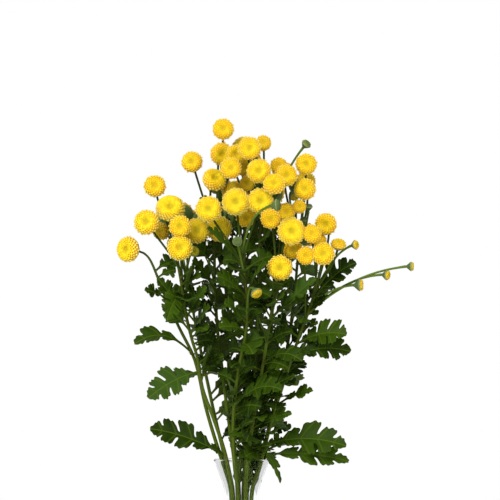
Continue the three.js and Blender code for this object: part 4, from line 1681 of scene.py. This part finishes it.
    def _led(self, stem: Stem, main: Array, stalk: Array) -> tuple[Array, Array, Array, Array]:
        """The stem's own line, run on smoothly into the stalk of its topmost head.

        Args:
            stem: The stem.
            main: Its fine line.
            stalk: The stalk that leaves its top.

        Returns:
            The line, its radii, its knots and how fresh its green is.
        """
        start = stalk[0, 2]
        kept = main[main[:, 2] < start - 0.5] if start < main[-1, 2] - 1 else main[:-1]
        line = np.vstack((kept, stalk))
        lowest = max(1, len(kept) - self.joint_reach)
        highest = min(len(line) - 2, len(kept) + self.joint_reach)
        for _ in range(self.joint_passes):
            for i in range(lowest, highest + 1):
                line[i] += ((line[i - 1] + line[i + 1]) / 2 - line[i]) * self.joint_easing
        radii = np.concatenate((self.thickness(stem, kept), np.full(len(stalk), STALK_RADIUS)))
        padded = np.pad(radii, self.joint_blend // 2, mode="edge")
        evenly = np.ones(self.joint_blend) / self.joint_blend
        radii = np.convolve(padded, evenly, mode="valid")[:len(line)]
        knots = np.concatenate((self.knots(stem, kept), np.zeros(len(stalk))))
        return line, radii, knots, np.zeros(len(line))

    def skeleton(self, stem: Stem) -> bpy.types.Object:
        """The stem's lines as edges with a thickness, and its cups as loose points.

        Args:
            stem: The stem.

        Returns:
            The mesh object that the tree grows on.
        """
        main = spline(stem.line, (len(stem.line) - 1) * self.finer)
        flowers = [head for head in self.layout.heads.values() if head.stem == stem.name]
        buds = [bud for bud in self.layout.buds if bud.stem == stem.name]
        leader = max(flowers, key=lambda head: (head.fork, head.centre[2]))
        chains = [self._led(stem, main, leader.stalk)]
        for flower in (*flowers, *buds):
            if flower is leader:
                continue
            share = np.linspace(0, 1, len(flower.stalk))
            swelling = self.stalk_swelling * np.exp(-(share / 0.06)**2)
            flare = self.stalk_flare * smoothstep(share, 0.9, 1)
            fresh = np.full(len(share), float(flower in buds)) * smoothstep(share, 0.0, 0.25)
            radius = STALK_RADIUS * (1 + swelling + flare)
            chains.append((flower.stalk, radius, np.exp(-(share / 0.05)**2), fresh))
        seats = [(head.cup_end, head.face, head.radius, 1) for head in flowers]
        seats += [(bud.centre, bud.face, bud.radius, 2) for bud in buds]
        lines, radii, knots, fresh = zip(*chains)
        points = [*lines, np.array([seat[0] for seat in seats]).reshape(-1, 3)]
        edges, start = [], 0
        for line in lines:
            edges.extend((i, i + 1) for i in range(start, start + len(line) - 1))
            start += len(line)
        blank, none = np.zeros(start), np.zeros(len(seats))
        attributes = {
            "thickness": np.concatenate([*radii, none]) * MM,
            "knot": np.concatenate([*knots, none]),
            "fresh": np.concatenate([*fresh, none]),
            "kind": np.concatenate([blank, [seat[3] for seat in seats]]),
            "size": np.concatenate([blank, [seat[2] * MM for seat in seats]]),
            "facing": np.vstack([np.tile(UP, (start, 1)), *(seat[1] for seat in seats)]),
        }
        return mesh_object("stem_" + stem.name, np.vstack(points), [], attributes, edges)


@dataclass(frozen=True)
class HalfOutline:
    """Half a blade after its petiole, as shares of length and half width.

    The edge runs through the tips and notches of its lobes and teeth. The veins are where side veins
    leave the midrib, with the petiole's end first.
    """

    edge: tuple[tuple[float, float], ...]
    veins: tuple[float, ...]


class BladeForm(Enum):
    """The kinds of blade."""

    LARGE = HalfOutline(
        edge=(
            (0.2, 0.12), (0.225, 0.3), (0.25, 0.5), (0.285, 0.42), (0.32, 0.62), (0.35, 0.52), (0.38, 0.56),
            (0.4, 0.4), (0.385, 0.18), (0.41, 0.2), (0.42, 0.5), (0.425, 0.74), (0.45, 0.9), (0.49, 0.78),
            (0.53, 1.04), (0.57, 0.86), (0.61, 1.0), (0.635, 0.8), (0.615, 0.5), (0.6, 0.22), (0.63, 0.24),
            (0.655, 0.5), (0.67, 0.7), (0.7, 0.84), (0.735, 0.68), (0.77, 0.86), (0.805, 0.68), (0.835, 0.74),
            (0.85, 0.56), (0.825, 0.38), (0.82, 0.26), (0.845, 0.28), (0.875, 0.42), (0.9, 0.5),
            (0.925, 0.34), (0.955, 0.38), (0.97, 0.2), (1.0, 0.14),
        ),
        veins=(0.12, 0.25, 0.44, 0.65, 0.84, 1.0),
    )
    SMALL = HalfOutline(
        edge=(
            (0.26, 0.14), (0.31, 0.36), (0.36, 0.6), (0.42, 0.48), (0.47, 0.62), (0.51, 0.42), (0.5, 0.22),
            (0.54, 0.28), (0.55, 0.6), (0.58, 0.9), (0.63, 1.0), (0.67, 0.8), (0.715, 1.04), (0.75, 0.8),
            (0.8, 0.9), (0.83, 0.62), (0.8, 0.3), (0.84, 0.34), (0.87, 0.5), (0.91, 0.52), (0.935, 0.34),
            (0.965, 0.38), (0.985, 0.16),
        ),
        veins=(0.14, 0.34, 0.56, 0.82, 1.0),
    )
    BROAD = HalfOutline(
        edge=(
            (0.28, 0.1), (0.32, 0.4), (0.36, 0.74), (0.41, 0.9), (0.46, 0.74), (0.52, 0.96), (0.57, 0.8),
            (0.57, 0.5), (0.56, 0.26), (0.61, 0.34), (0.64, 0.62), (0.68, 0.84), (0.73, 0.66), (0.78, 0.8),
            (0.82, 0.56), (0.81, 0.3), (0.85, 0.32), (0.88, 0.46), (0.92, 0.34), (0.96, 0.36), (0.98, 0.14),
        ),
        veins=(0.14, 0.38, 0.62, 0.84, 1.0),
    )


@dataclass
class Blades:
    """Lobed and toothed leaf blades, with sunk veins, a fold and a slight quilting."""

    layout: Layout
    material: bpy.types.Material
    seed_step: int = 50
    grid: float = 1.2
    edge_step: float = 0.6
    fewest_points: int = 24
    cuts: int = 3
    cut: float = 0.25
    grid_play: float = 0.18
    midrib_step: float = 1.2
    edge_room: float = 0.45
    midrib_room: float = 0.5
    blade_thickness: float = 0.36
    unevenness: float = 0.022
    lengthwise: float = 0.3
    lobe_play: float = 0.1
    lobe_waves: float = 9.0
    lean: float = 0.12
    quilting: float = 0.5
    wave: float = 1.1
    wave_at: float = 11.0
    vein_slant: float = 0.15
    rib_width: float = 0.55

    def outline(self, leaf: Leaf, form: BladeForm, seed: int) -> Array:
        """The blade's closed outline.

        Args:
            leaf: The leaf.
            form: The kind of blade.
            seed: For the unevenness of its lobes.

        Returns:
            Flat points, in millimetres along and across the midrib.
        """
        petiole = PETIOLE_HALF_WIDTH / leaf.half_width
        halves = []
        for half in (1, -1):
            chance = np.random.default_rng(seed * 2 + (half > 0))
            edge = np.array(form.value.edge)
            spread = (self.unevenness * self.lengthwise, self.unevenness)
            edge += chance.normal(0, 1, edge.shape) * spread
            phase = chance.uniform(0, 2 * math.pi)
            edge[:, 1] *= 1 + self.lobe_play * np.sin(edge[:, 0] * self.lobe_waves + phase)
            edge[:, 0] += self.lean * np.clip(edge[:, 1], 0, 1) * (1 - edge[:, 0])
            edge = np.vstack(((0, petiole), (PETIOLE_END, petiole), np.maximum(edge, (0, 0.02)), (1, 0)))
            line = self._rounded(edge * (leaf.length, leaf.half_width))
            halves.append(line * (1, half))
        return np.vstack((halves[0], halves[1][-2::-1]))

    def _rounded(self, edge: Array) -> Array:
        """Rounds an edge by cutting its corners.

        Args:
            edge: The edge's points.

        Returns:
            Points at even steps on the rounded edge.
        """
        far = 1 - self.cut
        for _ in range(self.cuts):
            first = edge[:-1] * far + edge[1:] * self.cut
            second = edge[:-1] * self.cut + edge[1:] * far
            edge = np.vstack((edge[:1], np.stack((first, second), 1).reshape(-1, 2), edge[-1:]))
        steps = np.linalg.norm(np.diff(edge, axis=0), axis=1)
        run = np.concatenate(([0], np.cumsum(steps)))
        even = np.linspace(0, run[-1], max(self.fewest_points, int(run[-1] / self.edge_step)))
        return np.stack((np.interp(even, run, edge[:, 0]), np.interp(even, run, edge[:, 1])), 1)

    def flat(self, leaf: Leaf, outline: Array, seed: int) -> tuple[Array, Faces]:
        """Fills an outline with small triangles.

        Args:
            leaf: The leaf, for its length.
            outline: The closed outline.
            seed: For the unevenness of the points inside.

        Returns:
            Flat points, and faces that turn the same way.
        """
        chance = np.random.default_rng(seed)
        low, high = outline.min(0), outline.max(0)
        rows = np.arange(low[1], high[1], self.grid * 0.866)
        columns = np.arange(low[0], high[0], self.grid)
        inside = [(u + (k % 2) * self.grid / 2, v) for k, v in enumerate(rows) for u in columns]
        inside = np.array(inside) + chance.uniform(-self.grid_play, self.grid_play, (len(inside), 2))
        along = np.arange(1, leaf.length - 0.6, self.midrib_step)
        midrib = np.stack((along, np.zeros(len(along))), 1)
        apart = np.linalg.norm(inside[:, None] - outline[None], axis=2).min(1)
        beside = np.abs(inside[:, 1]) > self.midrib_room
        inside = inside[(apart > self.edge_room) & beside & self._within(inside, outline)]
        points = np.vstack((outline, midrib, inside))
        made = delaunay_2d_cdt([tuple(p) for p in points], [], [list(range(len(outline)))], 1, 1e-5)
        return np.array([tuple(p) for p in made[0]]), [tuple(face) for face in made[2]]

    @staticmethod
    def _within(points: Array, outline: Array) -> Array:
        """Whether points lie inside a closed outline.

        Args:
            points: The points.
            outline: The outline.

        Returns:
            A truth for each point.
        """
        crossings = np.zeros(len(points), int)
        for a, b in zip(outline, np.roll(outline, -1, axis=0)):
            spans = (a[1] > points[:, 1]) != (b[1] > points[:, 1])
            rise = b[1] - a[1] if b[1] != a[1] else 1e-9
            crossings += spans & (points[:, 0] < (b[0] - a[0]) * (points[:, 1] - a[1]) / rise + a[0])
        return crossings % 2 == 1

    def blade(self, leaf: Leaf, form: BladeForm, seed: int) -> tuple[Array, Faces, dict[str, Array]]:
        """Makes a closed blade.

        Args:
            leaf: The leaf.
            form: The kind of blade.
            seed: For what differs from leaf to leaf.

        Returns:
            Points, faces and what the shader reads from the points.
        """
        chance = np.random.default_rng(1000 + seed)
        flat, faces = self.flat(leaf, self.outline(leaf, form, seed), seed)
        t, w = flat[:, 0] / leaf.length, flat[:, 1] / leaf.half_width
        veins = form.value.veins
        phase = np.interp(t - self.vein_slant * np.abs(w), veins, np.arange(len(veins)))
        between = 0.5 - 0.5 * np.cos(2 * math.pi * phase)
        body = smoothstep(t, PETIOLE_END, 0.3)
        waves, start = chance.uniform(1.6, 2.6), chance.uniform(0, 1)
        wave = np.sin(2 * math.pi * (t * waves + start) + np.sign(w) * 0.8)
        lift = between * self.quilting * body * smoothstep(np.abs(w), 0.05, 0.35)
        lift += wave * self.wave * body * w**2 * leaf.half_width / self.wave_at
        rib = np.exp(-(flat[:, 1] / self.rib_width)**2)
        above = self.blade_thickness / 2 + (1 - body) * 0.2 - rib * body * 0.1
        below = -self.blade_thickness / 2 - (1 - body) * 0.35 - rib * 0.3 * (1 - t)
        points = np.vstack((leaf.place(t, w, lift + above), leaf.place(t, w, lift + below)))
        count = len(flat)
        closed = list(faces) + [tuple(i + count for i in reversed(face)) for face in faces]
        edges = {(a, b) for face in faces for a, b in zip(face, (*face[1:], face[0]))}
        closed += [(b, a, a + count, b + count) for a, b in edges if (b, a) not in edges]
        return points, closed, {
            "across": np.tile(np.abs(flat[:, 1]), 2), "vein_phase": np.tile(phase, 2),
            "under": np.concatenate((np.zeros(count), np.ones(count))),
            "tone": np.full(2 * count, chance.uniform(0, 1)),
        }

    def merged(
        self, name: str, leaves: Sequence[Leaf], form: BladeForm | None, seed: int
    ) -> bpy.types.Object:
        """Makes one mesh object of several blades.

        Args:
            name: The object's name.
            leaves: The leaves.
            form: The kind of blade, or none to choose by each leaf's size.
            seed: The first leaf's seed.

        Returns:
            The object.
        """
        points, faces, start = [], [], 0
        kept: dict[str, list[Array]] = {}
        for number, leaf in enumerate(leaves):
            chosen = form or (BladeForm.SMALL if leaf.half_width < SMALL_LEAF else BladeForm.LARGE)
            places, corners, attributes = self.blade(leaf, chosen, seed + number)
            points.append(places)
            faces.extend(tuple(i + start for i in face) for face in corners)
            start += len(places)
            for key, values in attributes.items():
                kept.setdefault(key, []).append(values)
        joined = {key: np.concatenate(values) for key, values in kept.items()}
        return mesh_object(name, np.vstack(points), faces, joined, material=self.material)

    def build(self) -> None:
        """Makes one piece of main leaves for each stem."""
        for number, name in enumerate(self.layout.stems):
            leaves = [leaf for leaf in self.layout.leaves if leaf.stem == name]
            if leaves:
                piece = self.merged("leaves_" + name, leaves, None, self.seed_step * number)
                settle(piece, Slot.GREEN, "flowering_stem_" + name)


@dataclass
class SmallBlades(Blades):
    """Smaller leaves that fill the bunch along the stems, each turned clear of its neighbours."""

    first_seed: int = 3000
    growth_seed: int = 700
    seed_step: int = 80
    grid: float = 1.7
    edge_step: float = 0.8
    quilting: float = 0.35
    spacing: float = 4.6
    lowest: float = 203.0
    shortest: float = 15.0
    longest: float = 29.0
    least_room: float = -1.3
    tries: int = 3
    front_heads: int = 44
    swings: tuple[int, ...] = (0, 14, -14, 28, -28)
    lifts: tuple[int, ...] = (0, 15, -15)
    bare_top: float = 4.0
    angle_play: float = 0.3
    rise: tuple[float, float] = (0.3, 0.8)
    sideways_only: float = 0.6
    outward: float = 0.8
    face_turn: float = 55.0
    face_play: float = 18.0
    back_from: float = 8.0
    arch_share: float = 0.08
    width_shares: tuple[float, float] = (0.3, 0.4)
    head_margin: float = 1.05

    def build(self) -> None:
        """Makes one piece of small leaves for each stem."""
        for number, (name, stem) in enumerate(self.layout.stems.items()):
            leaves = self.placed(name, stem) + self.grown(name, stem, number)
            form = BladeForm.BROAD if number % 2 else BladeForm.SMALL
            if leaves:
                seed = self.first_seed + self.seed_step * number
                piece = self.merged("small_leaves_" + name, leaves, form, seed)
                settle(piece, Slot.GREEN, "flowering_stem_" + name)

    def placed(self, name: str, stem: Stem) -> list[Leaf]:
        """The leaves of one stem that are given in a table, those above the mouth turned clear.

        Args:
            name: The stem's name.
            stem: The stem.

        Returns:
            The leaves.
        """
        leaves = []
        for owner, height, x, y, z, arch, half_width, turn in PLACED_LEAVES:
            if owner == name:
                leaf = Leaf(name, stem.at(height)[0], np.array((x, y, z), float), arch, half_width, turn)
                if height > VASE_HEIGHT:
                    leaf, _ = leaf.cleared(self.layout.balls, self.lifts, self.swings)
                self.layout.balls.add(leaf.samples(), LEAF_BALL / 2, name)
                leaves.append(leaf)
        return leaves

    def grown(self, name: str, stem: Stem, number: int) -> list[Leaf]:
        """Leaves up one stem, at even heights and turned by the golden angle.

        Args:
            name: The stem's name.
            stem: The stem.
            number: The stem's place in the layout, which seeds the draws.

        Returns:
            The leaves that found room.
        """
        chance = np.random.default_rng(self.growth_seed + number)
        leaves = []
        lowest = BARE_BELOW.get(name, self.lowest)
        for step, height in enumerate(np.arange(lowest, stem.top - self.bare_top, self.spacing)):
            root, _ = stem.at(height)
            for attempt in range(self.tries):
                play = chance.uniform(-self.angle_play, self.angle_play)
                angle = (step + attempt) * GOLDEN_ANGLE + number + play
                leaf, room = self.asked(name, root, angle, chance).cleared(
                    self.layout.balls, self.lifts, self.swings)
                if room > self.least_room and self.within(leaf) and not self.hides_head(leaf):
                    self.layout.balls.add(leaf.samples(), LEAF_BALL / 2, name)
                    leaves.append(leaf)
                    break
        return leaves

    def asked(self, name: str, root: Array, angle: float, chance: np.random.Generator) -> Leaf:
        """A small leaf that points away from its stem and turns its face outwards.

        Args:
            name: The stem's name.
            root: Where the leaf leaves the stem.
            angle: Its direction round the stem.
            chance: The draws.

        Returns:
            The leaf, before it is turned clear.
        """
        length = chance.uniform(self.shortest, self.longest)
        level = np.array((math.cos(angle), math.sin(angle), 0.0))
        rise = chance.uniform(*self.rise) - self.sideways_only * abs(level[1])
        tip = root + level * length * self.outward + UP * length * rise
        turn = self.face_turn * abs(level[0]) * (-1 if root[1] > self.back_from else 1)
        turn += chance.uniform(-self.face_play, self.face_play)
        half_width = length * chance.uniform(*self.width_shares)
        return Leaf(name, root, tip, length * self.arch_share, half_width, turn)

    def within(self, leaf: Leaf) -> bool:
        """Whether the leaf stays inside the bunch's outline, seen from the front.

        Args:
            leaf: The leaf.

        Returns:
            The truth of it.
        """
        across, _, height = leaf.tip
        low = np.interp(height, FOLIAGE_HEIGHTS, FOLIAGE_LEFT)
        high = np.interp(height, FOLIAGE_HEIGHTS, FOLIAGE_RIGHT)
        return bool(low <= across <= high)

    def hides_head(self, leaf: Leaf) -> bool:
        """Whether the leaf stands in front of a head that is seen from the front.

        Args:
            leaf: The leaf.

        Returns:
            The truth of it.
        """
        samples = leaf.samples()
        for head in self.layout.heads.values():
            if head.number <= self.front_heads:
                beside = np.hypot(samples[:, 0] - head.centre[0], samples[:, 2] - head.centre[2])
                before = samples[:, 1] < head.centre[1]
                if ((beside < head.radius * self.head_margin) & before).any():
                    return True
        return False


@dataclass
class GlassVase:
    """The blown glass vase and the water in it."""

    glass: bpy.types.Material
    water: bpy.types.Material
    sides: int = 96
    rim_steps: int = 7
    wall_step: float = 3.0
    softening: float = 2.5

    @staticmethod
    def radius(z: float) -> float:
        """The vase's outer radius.

        Args:
            z: The height.

        Returns:
            The radius there.
        """
        if z >= NECK_TOP:
            flare = MOUTH_RADIUS - NECK_RADIUS
            return NECK_RADIUS + flare * (z - NECK_TOP) / (VASE_HEIGHT - NECK_TOP)
        if z >= BODY_HEIGHT:
            taper = float(smoothstep(z, BODY_HEIGHT, NECK_BOTTOM))
            return BODY_RADIUS + (NECK_RADIUS - BODY_RADIUS) * taper
        return FOOT_RADIUS + (BODY_RADIUS - FOOT_RADIUS) * math.sin(z / BODY_HEIGHT * math.pi / 2)

    def wall(self, low: float, high: float, offset: float) -> list[tuple[float, float]]:
        """The wall's line between two heights.

        Args:
            low: The first height.
            high: The last height.
            offset: How far it lies inside the outer face.

        Returns:
            Radii and heights.
        """
        heights = np.linspace(low, high, int((high - low) / self.wall_step) + 2)
        near = (-self.softening, 0, self.softening)
        softened = [np.mean([self.radius(min(z + d, VASE_HEIGHT)) for d in near]) for z in heights]
        return [(r - offset, float(z)) for r, z in zip(softened, heights)]

    def build(self) -> None:
        """Makes the vase and the water."""
        half = GLASS / 2
        middle, top = MOUTH_RADIUS - half, VASE_HEIGHT - half
        turns = np.linspace(0, math.pi, self.rim_steps)
        lip = [(middle + half * math.cos(a), top + half * math.sin(a)) for a in turns]
        outer = self.wall(3, VASE_HEIGHT - 3, 0)
        inner = self.wall(FLOOR + 3, VASE_HEIGHT - 3, GLASS)[::-1]
        foot = [
            (0.0, 1.2), (FOOT_RADIUS * 0.7, 0.9), (FOOT_RADIUS - 5, 0.0), (FOOT_RADIUS - 2.5, 0.0),
            (FOOT_RADIUS - 0.6, 1.0),
        ]
        floor = self.radius(FLOOR) - GLASS
        bowl = [(floor - 2.2, FLOOR + 0.6), (floor - 7, FLOOR)]
        points, faces = lathed([*foot, *outer, *lip, *inner, *bowl, (0.0, FLOOR)], self.sides)
        settle(mesh_object("vase_glass", points, faces, material=self.glass), Slot.GLASS, "vase")
        offset = GLASS + GAP
        wet = self.wall(FLOOR + 3, WATER_LEVEL - 1, offset)
        edge = self.radius(WATER_LEVEL) - offset
        surface = [(edge, WATER_LEVEL), (edge - 1.2, WATER_LEVEL - 0.7), (edge - 3, WATER_LEVEL - 1)]
        bottom, base = self.radius(FLOOR) - offset, FLOOR + GAP
        low = [(0.0, base), (bottom - 7, base), (bottom - 2.2, base + 0.6)]
        points, faces = lathed([*low, *wet, *surface, (0.0, WATER_LEVEL - 1)], self.sides)
        settle(mesh_object("vase_water", points, faces, material=self.water), Slot.WATER, "water")


@dataclass
class Studio:
    """The camera at the photograph's angle, soft light, a white surround and a pale floor."""

    camera_distance: float = 3.0
    camera_height: float = 0.347
    camera_across: float = 0.0058
    view_width: float = 0.35
    plane: float = -0.015
    sensor: float = 36.0
    surround: float = 0.62
    key_power: float = 30.0
    key_place: Triple = (-0.9, -1.5, 1.5)
    key_size: float = 0.9
    fill_share: float = 0.25
    fill_place: Triple = (1.3, -1.2, 0.6)
    fill_size: float = 1.2
    bunch_height: float = 0.33
    floor_radius: float = 2.4
    floor_sides: int = 96

    def build(self) -> None:
        """Makes the camera, lights, surround and floor."""
        self._camera()
        self._surround()
        self._light("key", self.key_place, self.key_power, self.key_size)
        self._light("fill", self.fill_place, self.key_power * self.fill_share, self.fill_size)
        sides = self.floor_sides
        angles = np.arange(sides) * 2 * math.pi / sides
        rim = np.stack((np.cos(angles), np.sin(angles), np.zeros(sides)), 1) * self.floor_radius / MM
        floor = mesh_object("studio_floor", rim, [tuple(range(sides))], material=FloorFinish().material())
        log.info("%s: %d corners", floor.name, sides)

    def _camera(self) -> None:
        """Makes the camera level, with a long lens."""
        data = bpy.data.cameras.new("camera")
        data.sensor_width = self.sensor
        data.lens = self.sensor * (self.camera_distance + self.plane) / self.view_width
        data.clip_end = 20.0
        camera = bpy.data.objects.new("camera", data)
        camera.location = (self.camera_across, -self.camera_distance, self.camera_height)
        camera.rotation_euler = (math.pi / 2, 0, 0)
        bpy.context.scene.collection.objects.link(camera)
        bpy.context.scene.camera = camera
        bpy.context.scene.view_settings.view_transform = "Standard"

    def _surround(self) -> None:
        """Makes the surround white to look at, and softer as a light."""
        world = bpy.data.worlds.new("surround")
        world.use_nodes = True
        graph = Graph(world.node_tree)
        seen = graph.node("ShaderNodeLightPath")
        strength = seen["Is Diffuse Ray"] * (self.surround - 1.0) + 1.0
        light = graph.node("ShaderNodeBackground", {}, {"Color": (1, 1, 1), "Strength": strength})
        graph.node("ShaderNodeOutputWorld", {}, {"Surface": light[0]})
        bpy.context.scene.world = world

    def _light(self, name: str, place: Triple, power: float, size: float) -> None:
        """Makes a soft light that faces the bunch, and isn't seen itself.

        Args:
            name: The light's name.
            place: Where it stands.
            power: Its power in watts.
            size: The side of its square face.
        """
        data = bpy.data.lights.new(name, "AREA")
        data.energy = power
        data.size = size
        lamp = bpy.data.objects.new(name, data)
        lamp.visible_camera = False
        lamp.visible_transmission = False
        lamp.location = place
        back = unit(np.array(place) - (0, 0, self.bunch_height))
        turn = math.atan2(back[0], -back[1])
        lamp.rotation_euler = (math.acos(back[2]), 0, turn)
        bpy.context.scene.collection.objects.link(lamp)


def main() -> None:
    """Builds the studio and every part of the bunch."""
    logging.basicConfig(level=logging.INFO, format="%(message)s")
    Studio().build()
    florets = FloretFinish().material()
    leaf_green = LeafFinish().material()
    layout = Layout().arrange()
    GlassVase(GlassFinish().material(), WaterFinish().material()).build()
    StemGreens(layout, StemFinish().material(), CupFinish().material()).build()
    Blades(layout, leaf_green).build()
    SmallBlades(layout, leaf_green).build()
    HeadFlorets(layout, florets).build()
    BudFlorets(layout, florets).build()
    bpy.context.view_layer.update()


if __name__ == "__main__":
    main()
